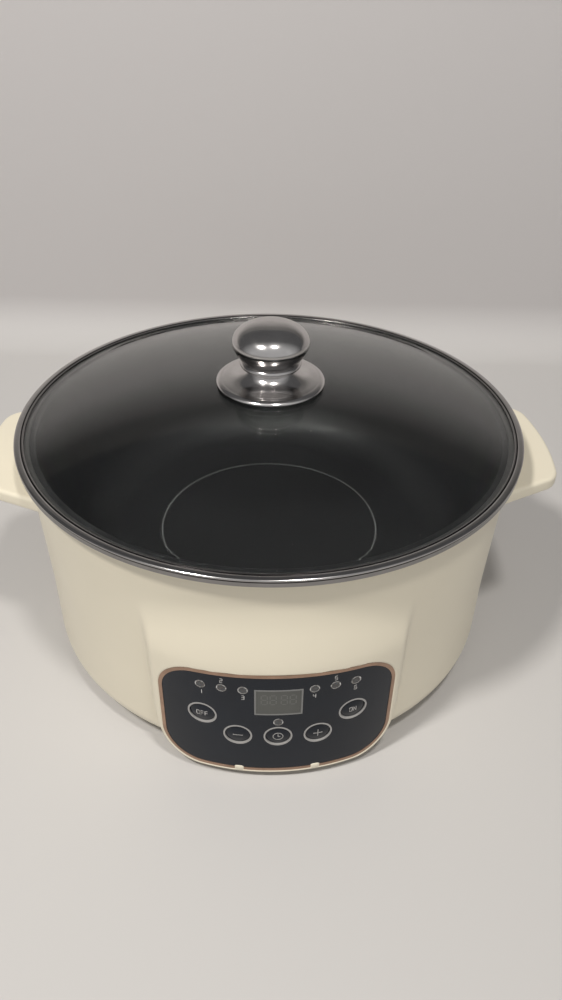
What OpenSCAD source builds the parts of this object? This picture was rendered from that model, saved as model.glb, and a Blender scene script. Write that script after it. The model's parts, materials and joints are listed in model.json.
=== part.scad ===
// Electric hot pot with a lift-off glass lid.
// Frame: +Z up, origin on the table under the axis of the pot. The control panel faces -Y and the
// two ear handles lie along X. All lengths are millimetres.

/* [Shell] */
// Outer radius of the straight lower part of the shell
body_r = 141.7; // [134:0.1:150]
// How far the shell widens between its straight part and its top edge
body_flare = 2.9; // [1:0.1:4]
// Height of the shell from its underside to its top edge
body_h = 138.4; // [132:0.1:150]
// Height above the underside where the shell starts to widen
flare_from = 58; // [40:1:80]
// Wall thickness of the shell
wall = 2.6; // [2:0.1:3]
// Rounding of the lower edge of the shell
base_round = 16; // [14:0.5:18]

/* [Control housing] */
// Radius of the curved face that carries the panel
face_r = 130; // [120:1:135]
// Height of the housing's rim above the panel's surface
lip = 0.4; // [0.2:0.1:0.6]
// Width of the housing's face on each side of the panel
housing_side = 2.9; // [2.9:0.1:6]
// Rounding of the housing's front side edges
housing_round = 4; // [3:0.5:4]
// Fillet where the housing runs into the shell
housing_fillet = 5; // [4:0.5:6]
// Radius of the housing's lower corners seen from the front
housing_corner = 32; // [30:0.5:33]
// Rounding of the housing's lower front edge
housing_edge = 2.2; // [1:0.1:2.5]
// Plain band between the panel and the slope above it
slope_gap = 3.3; // [2:0.1:5]
// Height of the slope above the panel
slope_h = 33.5; // [28:0.5:38]
// How far the slope leans back into the shell
slope_in = 6.6; // [6:0.1:8]

/* [Ear handles] */
// Distance from the axis to the handles' outer edge
ear_reach = 174; // [168:0.5:180]
// Half width of a handle where it leaves the shell
ear_root = 57; // [52:0.5:60]
// Half distance between the centres of a handle's outer corners
ear_tip = 30; // [26:0.5:34]
// Rounding of a handle's outer corners
ear_corner = 14; // [10:0.5:16]
// Height of a handle's top face above the underside of the shell
ear_level = 124.5; // [118:0.5:126]
// Thickness of a handle at its edge
ear_t = 8.5; // [8:0.1:10]
// Rounding of a handle's edges
ear_edge = 2.2; // [1.5:0.1:2.5]
// Wall left round the finger recess under a handle
ear_wall = 3.4; // [3:0.1:4]
// Depth of the finger recess under a handle
ear_recess = 5.2; // [5:0.1:5.5]

/* [Pan] */
// Distance from the pan's mouth to the shell's top edge
mouth_in = 7.6; // [6.6:0.1:10]
// Depth of the pan below its brim
pan_depth = 80; // [74:0.5:84]
// Sheet thickness of the pan's wall and floor
pan_t = 2; // [1.6:0.1:2.2]
// Thickness of the pan's brim
brim_t = 1.6; // [1.2:0.1:1.8]
// Distance from the pan's mouth to the flat part of its floor
floor_in = 41; // [39:0.5:43]
// Inner radius of the curve between floor and wall
pan_round = 28; // [26:0.5:30]
// Width of the raised ring on the pan's floor
ring_w = 1.6; // [1:0.1:2.5]
// Height of the raised ring on the pan's floor
ring_h = 0.4; // [0.2:0.1:0.8]
// Thickness of the gasket under the brim
gasket_t = 1.2; // [1:0.1:1.5]

/* [Lid] */
// How far the lid's rim stands out past the top of the shell
rim_over = 5.4; // [4:0.1:6]
// Height of the lid's steel rim
rim_h = 4.8; // [4.8:0.1:5.4]
// Sheet thickness of the steel rim
rim_t = 0.65; // [0.6:0.05:0.7]
// Radius of the bead round the top of the rim
bead_r = 1; // [0.9:0.05:1.1]
// Width of the rim's upper lip on the glass
upper_lip = 5.2; // [4:0.1:6]
// Width of the rim's lower lip
lower_lip = 8.5; // [8:0.1:9]
// Thickness of the glass
glass_t = 3.4; // [3.2:0.1:3.4]
// Height of the dome above its flat edge
dome_rise = 23.1; // [20:0.1:26]
// Width of the glass's flat edge
glass_flat = 7.6; // [7:0.1:9]

/* [Knob] */
// Largest radius of the knob's head
knob_r = 22.5; // [20:0.1:24]
// Radius of the ridge at the bottom of the head
knob_low_r = 17.7; // [16.5:0.1:18.5]
// Height from the ridge to the widest part of the head
knob_low_h = 14.4; // [12:0.1:16]
// Height of the domed top above the widest part
knob_top_h = 12.2; // [10:0.1:16]
// Radius of the neck under the head
neck_r = 14; // [13:0.1:15]
// Radius of the flared skirt on the glass
skirt_r = 32; // [29:0.1:34]
// Height of the skirt and neck together
skirt_h = 9.5; // [9.4:0.1:12]
// Sheet thickness of the skirt
skirt_t = 1.2; // [1:0.1:1.4]
// Radius of the concave flare between neck and skirt
skirt_flare = 7.2; // [6:0.1:7.4]

/* [Control panel] */
// Width of the panel with its trim
panel_w = 127.2; // [126:0.1:127.2]
// Height of the panel with its trim
panel_h = 78.6; // [77:0.1:80]
// Height of the panel's lower edge above the underside of the shell
panel_low = 2.6; // [2.4:0.1:3]
// Thickness of the panel
panel_t = 2; // [1.8:0.1:2.2]
// Radius of the panel's upper corners
panel_top_r = 21; // [16:0.5:24]
// Radius of the panel's lower corners
panel_low_r = 22; // [20:0.5:24]
// How far the panel's top edge rises between its upper corners
panel_crown = 1.5; // [1:0.1:3]
// Width of the copper trim
trim_w = 2; // [1.8:0.1:2.2]
// How far the trim stands proud of the panel
trim_proud = 0.2; // [0.1:0.05:0.2]
// Distance of the lower edge's two catches from the middle
catch_x = 21.3; // [18:0.1:24]
// Width of a catch
catch_w = 4.2; // [3:0.1:5]
// Height of a catch
catch_h = 1.6; // [1.2:0.1:1.6]

/* [Display] */
// Width of the display's frame
window_w = 25.4; // [24:0.1:27]
// Height of the display's frame
window_h = 19.6; // [18:0.1:20]
// Width of the frame's border
bezel_w = 0.9; // [0.7:0.1:1.2]
// Height of the display's middle above the panel's lower edge
window_mid = 57.8; // [57:0.1:58.5]

/* [Buttons] */
// Outer radius of the pale ring round a button
ring_r = 7.8; // [7.4:0.1:8]
// Width of the pale ring
ring_line = 0.9; // [0.7:0.1:1]
// Height of the lower three buttons above the panel's lower edge
low_row = 30.3; // [29.8:0.1:31]
// Distance of the minus and plus buttons from the middle
low_pitch = 21.7; // [20.5:0.1:22]
// Height of the two upper buttons above the panel's lower edge
high_row = 43.7; // [43:0.1:45]
// Distance of the two upper buttons from the middle
high_pitch = 40.4; // [39.5:0.1:41]
// How far a button travels when it is pressed
button_travel = 0.5; // [0.3:0.05:0.6]
// How far a button's dome rises above its edge
button_dome = 0.9; // [0.5:0.05:1.2]
// Thickness of the flange that holds a button in
flange_t = 1.2; // [1:0.1:1.4]
// Width of that flange beyond the button
flange_w = 1.6; // [1.2:0.1:1.8]

/* [Lamps] */
// Radius of an indicator lens
lamp_r = 2.6; // [2.3:0.1:2.8]
// Height of the upper row of lamps above the panel's lower edge
lamp_row = 66.7; // [66:0.1:67.5]
// Distance of the first lamp of the row from the middle
lamp_first = 18.6; // [18:0.1:19]
// Distance between the lamps of the row
lamp_pitch = 11; // [10.5:0.1:11.2]
// Height of the middle lamp above the panel's lower edge
lamp_mid = 42.2; // [41.9:0.1:42.4]

/* [Electronics] */
// Thickness of the circuit boards
board_t = 1.6; // [1.2:0.1:2]
// Distance of the control board's side edges from the panel's
board_in = 10.6; // [9.6:0.1:12]
// Height of the control board
board_h = 66; // [64:0.5:66]
// Height of the control board's lower edge above the panel's lower edge
board_low = 9; // [8:0.5:10]
// Side of a push switch's housing
switch_w = 6; // [5:0.1:6.5]
// Height of a push switch's housing
switch_h = 3.5; // [3:0.1:4]
// Height of a push switch's plunger
plunger_h = 0.9; // [0.7:0.1:1.2]
// Length of the power board
power_l = 92; // [86:1:100]
// Width of the power board
power_w = 60; // [54:1:64]

/* [Heater] */
// Distance of the heating plate's edge from the end of the pan's flat floor
plate_in = 8; // [4:0.5:12]
// Thickness of the heating plate
plate_t = 4.5; // [4:0.1:5]
// Distance of the heating tube's ring from the plate's edge; a ring on the pan's floor marks it
heater_in = 17.3; // [14:0.1:22]
// Diameter of the heating tube
tube_d = 8; // [7:0.1:8.5]
// Open angle between the ends of the heating tube
tube_gap = 34; // [30:1:40]
// Space between the heat shield and the control board
shield_room = 5; // [4.5:0.1:7]
// Sheet thickness of the heat shield
shield_t = 1; // [0.8:0.1:1.2]
// Height of the heat shield's upturned edge
shield_lip = 10; // [6:0.5:14]
// Space between the heating plate and the heat shield
shield_gap = 15.7; // [15:0.1:17]

/* [Base] */
// Height of the feet below the shell
foot_h = 4; // [3:0.1:6]
// Radius of a foot
foot_r = 9; // [7:0.5:10]
// Distance of the feet from the screw bosses, towards the axis
foot_in = 18; // [15:0.5:24]
// Thickness of the base cover
cover_t = 2.4; // [2:0.1:2.8]
// How far the base cover lies inside the shell's lower edge
cover_inset = 1.4; // [1:0.1:1.8]
// Distance of the shell's screw bosses from the heat shield's edge
boss_in = 6; // [5.5:0.1:7]
// Radius of a screw boss
boss_r = 4.6; // [4.2:0.1:5]
// Radius of the base screws and shield screws
screw_r = 1.5; // [1.3:0.05:1.7]
// Number of slots in one ring of vents
vent_count = 24; // [16:1:30]
// Width of a vent slot
vent_w = 3; // [2.5:0.1:3.5]
// Length of a vent slot
vent_l = 14; // [10:0.5:16]
// Distance of the outer ring of vents from the feet's ring, towards the axis
vent_in = 28; // [26:0.5:32]
// Distance between the two rings of vents
vent_step = 22; // [18:0.5:24]

/* [Power inlet] */
// Width of the inlet's flange
inlet_w = 52; // [50:0.5:54]
// Height of the inlet's flange
inlet_h = 30; // [29:0.5:32]
// Thickness of the inlet's flange
inlet_t = 2; // [1.6:0.1:2.2]
// Width of the socket
socket_w = 27; // [26:0.1:28]
// Height of the socket
socket_h = 18; // [17:0.1:19]
// Depth of the socket
socket_d = 16; // [15:0.5:17]
// Wall round the socket
socket_wall = 1.8; // [1.5:0.1:2]
// Height of the inlet's middle above the underside of the shell
inlet_mid = 25; // [24:0.5:28]
// Length of the pins inside the socket
pin_l = 11; // [10:0.5:11.5]

/* [Clearances] */
// Gap round parts that are let into the shell or the panel
fit_gap = 0.1; // [0.05:0.01:0.15]
// Gap round a moving button
slide_gap = 0.25; // [0.2:0.01:0.3]
// Gap between a screw and its boss
screw_gap = 0.05; // [0.03:0.01:0.1]

/* [Hidden] */
$fn = 96;
ARC_FN = 720; // sides of the very large circles, so that their chords stay true
CREAM = [0.93, 0.87, 0.74];
STEEL = [0.78, 0.78, 0.79];
BLACK = [0.09, 0.09, 0.10];
PALE = [0.66, 0.67, 0.68];

// heights
shell_z = foot_h;
top_z = shell_z + body_h;
brim_z = top_z + gasket_t;
lid_z = brim_z + brim_t;
rim_top = lid_z + rim_h;
floor_z = lid_z - pan_depth;
plate_top = floor_z - pan_t;
plate_low = plate_top - plate_t;
shield_top = plate_low - shield_gap;
shield_low = shield_top - shield_t;
cover_low = shell_z + cover_inset;
cover_top = cover_low + cover_t;
ear_z = shell_z + ear_level;
inlet_z = shell_z + inlet_mid;

// radii
top_r = body_r + body_flare;
rim_r = top_r + rim_over;
base_r = body_r - base_round;
round_z = shell_z + base_round;
cover_r = base_r - wall - 3 * fit_gap;
mouth_r = top_r - mouth_in;
floor_r = mouth_r - floor_in;
plate_r = floor_r - plate_in;
heater_r = plate_r - heater_in;

// control housing and panel
housing_half = panel_w / 2 + housing_side;
lip_r = face_r + lip;
face_y = lip_r - rim_r;
back_r = face_r - panel_t;
inner_r = back_r - wall;
sink = 0.2; // the housing's fillets run this far into the shell
slot_w = 0.7; // width of the cross slots in screw heads
panel_z = shell_z + panel_low;
slope_z = panel_z + panel_h + slope_gap;
crown_r = pow(panel_w / 2 - panel_top_r, 2) / (2 * panel_crown); // radius of the panel's top edge
front_y = -rim_r - 5;
cut_y = face_y - 70;

// control board: it lies behind the outermost buttons and their switches
cap_r = ring_r - ring_line - slide_gap;
flange_r = cap_r + flange_w;
press_gap = 0.2; // space left behind a button that is pressed in
switch_y = flange_y(high_pitch) + flange_t + button_travel + press_gap;
plunger_r = 1.7;
led_r = 1.5;
led_h = 3;
led_gap = 0.2;
lens_step = 0.5;
button_proud = lip / 2; // how far a button's middle stands proud of the panel
button_ball = (cap_r * cap_r + button_dome * button_dome) / (2 * button_dome);
board_y = switch_y + plunger_h + switch_h;
board_z = panel_z + board_low;
board_w = panel_w - 2 * board_in;
post_x = board_w / 2 - 5;
post_r = 3;
post_hole = 6;
board_screw_r = 1;
post_low = board_z + 5;
post_high = panel_z + high_row + flange_r + post_r + 2;
BUTTONS = [[-high_pitch, high_row], [-low_pitch, low_row], [0, low_row], [low_pitch, low_row],
    [high_pitch, high_row]];
LAMPS = concat([[0, lamp_mid]],
    [for (side = [-1, 1], i = [0:2]) [side * (lamp_first + i * lamp_pitch), lamp_row]]);

// heater: the tube lies in the plate's groove with most of its height below the plate
tube_z = plate_low - 1.5;
tube_r = tube_d / 2;
leg_r = tube_r - 1;
leg_turn = tube_gap / 2 + 3.5; // each leg stands this many degrees from the middle of the gap
stud_ring = 40;
stud_r = 4.5;
STUD_ANGLES = [30:120:270];
sensor_z = plate_low - 5; // underside of the sensor's collar, where its spring pushes
spring_wire = 0.6;
spring_mean = 7;
spring_turns = 5;
spring_gap = 0.1;

// base
shield_r = -board_y - board_t - shield_room;
boss_ring = shield_r - boss_in;
foot_ring = boss_ring - foot_in;
vent_ring = foot_ring - vent_in;
boss_top = shield_low;
boss_hole = 11; // depth of the holes in the bosses
BOSS_ANGLES = [45:90:315];
head_r = 3;
head_h = 1.8;
stem_foot_r = 3; // part of a foot that passes through the base cover
inlet_pad = 4;
inlet_y = body_r + inlet_pad;
socket_y = inlet_y + inlet_t;
socket_back = 2.5;
pin_r = 1.6;
pin_tail = 9;
PINS = [[-8, -2], [0, 2.5], [8, -2]];
inlet_screw_x = inlet_w / 2 - 5;
inlet_screw_r = 1.4;
power_y = 32;
power_z = cover_top + 6;
power_screw_r = 1.2;
POWER_POSTS = [for (x = [-1, 1], y = [-1, 1])
    [x * (power_l / 2 - 5), power_y + y * (power_w / 2 - 5)]];

// lid and knob stack
band_in = 0.3; // the rim's band lies this far inside the bead
band_t = rim_t + 0.35;
upper_t = 0.45; // sheet thickness of the rim's upper lip
glass_r = rim_r - band_in - band_t - fit_gap;
glass_z = lid_z + rim_t + fit_gap / 2;
dome_top = glass_z + glass_t + dome_rise;
neck_z = dome_top + skirt_h;
skirt_edge = dome_top - 0.1; // the apron's edge lies just above the falling glass
skirt_slope = 2; // how much the apron rises from its edge to the flare
stem_r = 2.4;
stem_gap = 0.3;
stem_grip = 11; // how far the screw reaches into the knob
pad_r = 9;
seal_t = 1.5;
washer_t = 1;
washer_r = 8;
seal_z = dome_top - glass_t - 0.15 - seal_t;
washer_z = seal_z - washer_t;

// y of a surface of radius r round the face's own axis, at a distance x from the middle
function face_at(r, x) = face_y - sqrt(r * r - x * x);

// y of the front of a button's flange, just behind the wall at the flange's outer edge
function flange_y(x) = face_at(inner_r, x + flange_r) + slide_gap;

// point where the line from p touches the circle of radius r round c, on the side given
function touch(p, c, r, side) =
    let (d = p - c, a = atan2(d[1], d[0]) + side * acos(r / norm(d)))
    c + r * [cos(a), sin(a)];

// extrudes a drawing of x and z along Y, from y0 to y1
module along_y(y0, y1) {
    translate([0, y1, 0]) rotate([90, 0, 0]) linear_extrude(y1 - y0) children();
}

// tall slab between two radii round the face's own axis
module face_slab(r0, r1) {
    translate([0, face_y, 0]) difference() {
        cylinder(r = r1, h = top_z);
        translate([0, 0, -1]) cylinder(r = r0, h = top_z + 2);
    }
}

// rectangle with round corners, about its middle
module round_rect(w, h, r) {
    square([w - 2 * r, h], center = true);
    square([w, h - 2 * r], center = true);
    for (x = [-1, 1], y = [-1, 1]) translate([x * (w / 2 - r), y * (h / 2 - r)]) circle(r = r);
}

// machine screw with its head's underside at the origin and its shank along -Z
module screw(r, l, head_r, head_h) {
    difference() {
        union() {
            translate([0, 0, -l]) cylinder(r = r, h = l);
            cylinder(r = head_r, h = head_h);
        }
        for (a = [0, 90]) rotate([0, 0, a]) translate([-head_r * 0.6, -slot_w / 2, head_h * 0.45])
            cube([head_r * 1.2, slot_w, head_h]);
    }
}

// ---- shell ----

// outline of the shell in radius and height, drawn in by g
module shell_section(g, top) {
    translate([base_r, round_z]) circle(r = base_round - g);
    polygon([[0, shell_z + g], [base_r, shell_z + g], [base_r, round_z], [body_r - g, round_z],
        [body_r - g, shell_z + flare_from], [top_r - g, top_z], [top_r - g, top], [0, top]]);
}

// plan of the control housing: a curved face, round front edges and fillets into the shell
module housing_plan(g) {
    w = housing_half - g;
    r = housing_round;
    c = [w - r, face_at(lip_r - g - r, w - r)];
    reach = (c - [0, face_y]) * 2;
    intersection() {
        translate([0, face_y]) circle(r = lip_r - g);
        translate([0, face_y]) polygon([[0, 0], [-reach[0], reach[1]], reach]);
    }
    translate([-w, c[1]]) square([2 * w, cut_y - c[1]]);
    for (x = [-1, 1]) translate([x * c[0], c[1]]) circle(r = r);
}

// one concave fillet between the housing's side wall and the shell
module housing_fillet_plan() {
    c = [housing_half + housing_fillet,
        -sqrt(pow(body_r - sink + housing_fillet, 2) - pow(housing_half + housing_fillet, 2))];
    foot = c * (body_r - sink) / norm(c);
    difference() {
        polygon([[housing_half - 2, c[1]], c, foot, foot * 0.97, [housing_half - 2, foot[1] * 0.97]]);
        translate(c) circle(r = housing_fillet);
    }
}

// the housing seen from the front: open at the top, with large lower corners
module housing_front(g) {
    w = housing_half + housing_fillet - g;
    r = housing_corner - g;
    low = shell_z + g;
    translate([-w, low + r]) square([2 * w, top_z]);
    translate([-(w - r), low]) square([2 * (w - r), top_z]);
    for (x = [-1, 1]) translate([x * (w - r), low + r]) circle(r = r);
}

// section of the housing in radius and height round the face's own axis
module housing_section(g) {
    r = lip_r - g;
    e = housing_edge;
    polygon([[0, shell_z + g], [r - e, shell_z + g], [r - e, shell_z + g + e],
        [r, shell_z + g + e], [r, slope_z], [r - slope_in, slope_z + slope_h],
        [0, slope_z + slope_h]]);
    translate([r - e, shell_z + g + e]) circle(r = e);
}

// solid form of the control housing, drawn in by g
module housing(g) {
    intersection() {
        linear_extrude(top_z) {
            housing_plan(g);
            if (g == 0) {
                housing_fillet_plan();
                mirror([1, 0]) housing_fillet_plan();
            }
        }
        along_y(front_y, cut_y) housing_front(g);
        translate([0, face_y, 0]) rotate_extrude() housing_section(g);
    }
}

// plan of one ear handle, drawn in by g
module ear_plan(g) {
    r = ear_corner - g;
    c = [sqrt(pow(ear_reach - ear_corner, 2) - ear_tip * ear_tip), ear_tip];
    root = [sqrt(top_r * top_r - ear_root * ear_root), ear_root - g];
    t = touch(root, c, r, -1);
    inner = root[0] - 2 * wall;
    intersection() {
        circle(r = ear_reach - g);
        polygon([[0, 0], c * 1.4, [c[0], -c[1]] * 1.4]);
    }
    for (y = [-1, 1]) translate([c[0], y * c[1]]) circle(r = r);
    polygon([[inner, -root[1]], [root[0], -root[1]], [t[0], -t[1]], [c[0], -c[1]], c, t, root,
        [inner, root[1]]]);
}

// section of a handle's disc in radius and height, with round outer edges
module ear_section() {
    e = ear_edge;
    r = ear_reach;
    low = ear_z - ear_t;
    polygon([[0, low], [r - e, low], [r - e, low + e], [r, low + e], [r, ear_z - e],
        [r - e, ear_z - e], [r - e, ear_z], [0, ear_z]]);
    for (z = [low + e, ear_z - e]) translate([r - e, z]) circle(r = e);
}

// one ear handle with a finger recess in its underside
module ear() {
    difference() {
        intersection() {
            translate([0, 0, ear_z - ear_t]) linear_extrude(ear_t) ear_plan(0);
            rotate_extrude() ear_section();
        }
        translate([0, 0, ear_z - ear_t - 1]) difference() {
            linear_extrude(ear_recess + 1) ear_plan(ear_wall);
            cylinder(r = top_r + 1, h = ear_recess + 2);
        }
    }
}

// raised flat pad that carries the power inlet
module inlet_pad_solid() {
    translate([0, 0, inlet_z]) rotate([-90, 0, 0]) translate([0, 0, body_r - 12])
        linear_extrude(12 + inlet_pad) round_rect(inlet_w + 6, inlet_h + 6, 6);
}

// screw bosses for the base cover and the heat shield, with ribs to the wall
module shell_bosses() {
    for (a = BOSS_ANGLES) rotate([0, 0, a]) {
        difference() {
            union() {
                translate([boss_ring, 0, cover_top]) cylinder(r = boss_r, h = boss_top - cover_top);
                translate([boss_ring, -1, round_z])
                    cube([body_r - wall / 2 - boss_ring, 2, boss_top - round_z - 1]);
            }
            for (z = [cover_top - 1, boss_top - boss_hole]) translate([boss_ring, 0, z])
                cylinder(r = screw_r + screw_gap, h = boss_hole + 1);
        }
    }
}

// posts on the inside of the housing's face for the control board
module board_posts() {
    for (x = [-post_x, post_x], z = [post_low, post_high]) difference() {
        intersection() {
            along_y(front_y, board_y) translate([x, z]) circle(r = post_r);
            translate([0, face_y, 0]) cylinder(r = back_r - wall / 2, h = top_z);
        }
        along_y(board_y - post_hole, board_y + 1) translate([x, z])
            circle(r = board_screw_r + screw_gap);
    }
}

module outer_shell() {
    color(CREAM) {
        difference() {
            union() {
                rotate_extrude() shell_section(0, top_z);
                housing(0);
                for (a = [0, 180]) rotate([0, 0, a]) ear();
                inlet_pad_solid();
            }
            rotate_extrude() shell_section(wall, top_z + 1);
            housing(lip + panel_t + wall);
            translate([0, 0, shell_z - 1]) cylinder(r = cover_r + 2 * fit_gap, h = wall + 2);
            intersection() {
                face_slab(back_r, lip_r + 1);
                along_y(front_y, cut_y) panel_outline(-fit_gap);
            }
            along_y(front_y, board_y) face_holes(false);
            along_y(front_y, board_y) translate([0, panel_z + window_mid])
                square([window_w - 4 * bezel_w, window_h - 4 * bezel_w], center = true);
            translate([0, 0, inlet_z]) rotate([-90, 0, 0]) translate([0, 0, body_r - 20]) {
                linear_extrude(40) round_rect(socket_w + 2 * (socket_wall + fit_gap),
                    socket_h + 2 * (socket_wall + fit_gap), 2 + socket_wall);
                for (x = [-1, 1]) translate([x * inlet_screw_x, 0, 0])
                    cylinder(r = inlet_screw_r + screw_gap, h = 40);
            }
        }
        shell_bosses();
        board_posts();
    }
}

// ---- pan and heater ----

// outline of the pan in radius and height, grown by g
module pan_section(g, top) {
    c = [floor_r, floor_z + pan_round];
    p = [mouth_r + g, lid_z];
    t = touch(p, c, pan_round + g, -1);
    translate(c) circle(r = pan_round + g);
    polygon([[0, floor_z - g], [c[0], floor_z - g], c, t, p, [p[0], top], [0, top]]);
}

module inner_pan() {
    color(BLACK) {
        rotate_extrude() {
            difference() {
                union() {
                    pan_section(pan_t, lid_z);
                    translate([mouth_r, brim_z]) square([top_r - 0.6 - mouth_r, brim_t]);
                }
                pan_section(0, lid_z + 1);
            }
        }
        rotate_extrude() translate([heater_r - ring_w / 2, floor_z - pan_t / 2])
            square([ring_w, ring_h + pan_t / 2]);
    }
}

module pan_gasket() {
    color([0.25, 0.24, 0.23]) rotate_extrude() translate([top_r - wall + 0.2, top_z])
        square([wall - 0.6, gasket_t]);
}

module heating_plate() {
    color([0.62, 0.63, 0.65]) {
        rotate_extrude() difference() {
            union() {
                translate([7, plate_low]) square([plate_r - 7, plate_t]);
                translate([heater_r - tube_r - 3, tube_z])
                    square([tube_d + 6, plate_low - tube_z + 1]);
            }
            translate([heater_r, tube_z]) circle(r = tube_r + fit_gap);
        }
        for (a = STUD_ANGLES) rotate([0, 0, a]) translate([stud_ring, 0, 0]) difference() {
            translate([0, 0, shield_top]) cylinder(r = stud_r, h = plate_low - shield_top + 1);
            translate([0, 0, shield_top - 1]) cylinder(r = screw_r + screw_gap, h = 13);
        }
    }
}

module heating_element() {
    end = 90 + tube_gap / 2;
    color([0.45, 0.44, 0.43]) {
        rotate([0, 0, end]) rotate_extrude(angle = 360 - tube_gap)
            translate([heater_r, tube_z]) circle(r = tube_r);
        for (side = [-1, 1]) rotate([0, 0, 90 + side * leg_turn]) translate([heater_r, 0, 0]) {
            translate([0, 0, shield_low - 3]) cylinder(r = leg_r, h = tube_z - shield_low + 2);
            translate([0, 0, shield_low - 11]) cylinder(r = pin_r, h = 9);
        }
    }
}

module heat_shield() {
    color([0.72, 0.73, 0.74]) difference() {
        union() {
            translate([0, 0, shield_low]) cylinder(r = shield_r, h = shield_t);
            translate([0, 0, shield_low]) difference() {
                cylinder(r = shield_r, h = shield_t + shield_lip);
                translate([0, 0, -1]) cylinder(r = shield_r - shield_t, h = shield_lip + 4);
            }
        }
        for (a = BOSS_ANGLES) rotate([0, 0, a]) translate([boss_ring, 0, shield_low - 1])
            cylinder(r = screw_r + 0.4, h = shield_t + 2);
        for (a = STUD_ANGLES) rotate([0, 0, a]) translate([stud_ring, 0, shield_low - 1])
            cylinder(r = screw_r + 0.4, h = shield_t + 2);
        for (side = [-1, 1]) rotate([0, 0, 90 + side * leg_turn])
            translate([heater_r, 0, shield_low - 1]) cylinder(r = tube_r + 1, h = shield_t + 2);
    }
}

module shield_screws() {
    color(STEEL) for (a = BOSS_ANGLES) rotate([0, 0, a])
        translate([boss_ring, 0, shield_top]) screw(screw_r, 9, head_r, head_h);
}

module plate_screws() {
    color(STEEL) for (a = STUD_ANGLES) rotate([0, 0, a])
        translate([stud_ring, 0, shield_low]) rotate([180, 0, 0]) screw(screw_r, 11, head_r, head_h);
}

module temperature_sensor() {
    color([0.8, 0.8, 0.82]) {
        translate([0, 0, sensor_z]) cylinder(r = 6.4, h = plate_top - sensor_z);
        translate([0, 0, sensor_z]) cylinder(r = 9, h = 1.5);
    }
}

// ring of points round a coil's centre line at turn t
function coil_ring(t, low, rise) =
    let (a = 360 * t, sides = 6)
    [for (i = [0:sides - 1]) let (b = 360 * i / sides, r = spring_mean + spring_wire * cos(b))
        [r * cos(a), r * sin(a), low + rise * t + spring_wire * sin(b)]];

module sensor_spring() {
    steps = 16 * spring_turns;
    sides = 6;
    low = shield_top + spring_wire + spring_gap;
    rise = (sensor_z - shield_top - 2 * (spring_wire + spring_gap)) / spring_turns;
    points = [for (k = [0:steps]) each coil_ring(k * spring_turns / steps, low, rise)];
    faces = concat([[for (i = [sides - 1:-1:0]) sides - 1 - i]],
        [for (k = [0:steps - 1], i = [0:sides - 1]) let (j = (i + 1) % sides)
            [k * sides + i, (k + 1) * sides + i, (k + 1) * sides + j, k * sides + j]],
        [[for (i = [sides - 1:-1:0]) steps * sides + i]]);
    color(STEEL) polyhedron(points, faces);
}

module thermal_fuse() {
    color([0.85, 0.84, 0.80]) translate([0, -26, plate_low]) {
        translate([-8, -3, -1]) cube([16, 6, 1]);
        translate([-5, 0, -3]) rotate([0, 90, 0]) cylinder(r = 2.5, h = 10);
    }
}

// ---- base ----

module base_cover() {
    color([0.87, 0.81, 0.68]) difference() {
        union() {
            translate([0, 0, cover_low]) cylinder(r = cover_r, h = cover_t);
            for (p = POWER_POSTS) translate([p[0], p[1], cover_top - 1])
                cylinder(r = 3.5, h = power_z - cover_top + 1);
        }
        for (a = BOSS_ANGLES) rotate([0, 0, a]) {
            translate([boss_ring, 0, cover_low - 1]) cylinder(r = screw_r + 0.3, h = cover_t + 2);
            translate([foot_ring, 0, cover_low - 1])
                cylinder(r = stem_foot_r + fit_gap, h = cover_t + 2);
        }
        for (p = POWER_POSTS) translate([p[0], p[1], power_z - 6])
            cylinder(r = power_screw_r + screw_gap, h = 7);
        for (ring = [vent_ring - vent_step, vent_ring], i = [0:vent_count - 1])
            rotate([0, 0, (i + 0.5) * 360 / vent_count]) translate([ring, 0, cover_low - 1]) vent_slot();
    }
}

// radial slot with round ends
module vent_slot() {
    r = vent_w / 2;
    translate([0, -r, 0]) cube([vent_l - vent_w, vent_w, cover_t + 2]);
    for (x = [0, vent_l - vent_w]) translate([x, 0, 0]) cylinder(r = r, h = cover_t + 2);
}

module base_screws() {
    color(STEEL) for (a = BOSS_ANGLES) rotate([0, 0, a])
        translate([boss_ring, 0, cover_low]) rotate([180, 0, 0])
            screw(screw_r, cover_t + 9, head_r, cover_inset - fit_gap);
}

module rubber_feet() {
    color([0.2, 0.2, 0.2]) for (a = BOSS_ANGLES) rotate([0, 0, a]) translate([foot_ring, 0, 0]) {
        cylinder(r = foot_r, h = cover_low);
        cylinder(r = stem_foot_r, h = cover_top);
        translate([0, 0, cover_top]) cylinder(r = stem_foot_r + 0.8, h = 1.2);
    }
}

// ---- power inlet ----

// places a drawing of x and z at the inlet, with its height running out along +Y from y
module at_inlet(y) {
    translate([0, y, inlet_z]) rotate([-90, 0, 0]) mirror([0, 1, 0]) children();
}

module power_inlet() {
    deep = socket_d + socket_back;
    color([0.12, 0.12, 0.13]) difference() {
        union() {
            at_inlet(inlet_y) linear_extrude(inlet_t) round_rect(inlet_w, inlet_h, 4);
            at_inlet(socket_y - deep) linear_extrude(deep)
                round_rect(socket_w + 2 * socket_wall, socket_h + 2 * socket_wall, 2 + socket_wall);
        }
        at_inlet(socket_y - socket_d) linear_extrude(socket_d + 1) round_rect(socket_w, socket_h, 2);
        at_inlet(socket_y - deep - 1) for (p = PINS) translate([p[0], p[1], 0])
            cylinder(r = pin_r + screw_gap, h = socket_back + 2);
        at_inlet(inlet_y - 1) for (x = [-1, 1]) translate([x * inlet_screw_x, 0, 0])
            cylinder(r = inlet_screw_r + 0.3, h = inlet_t + 2);
    }
}

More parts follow.
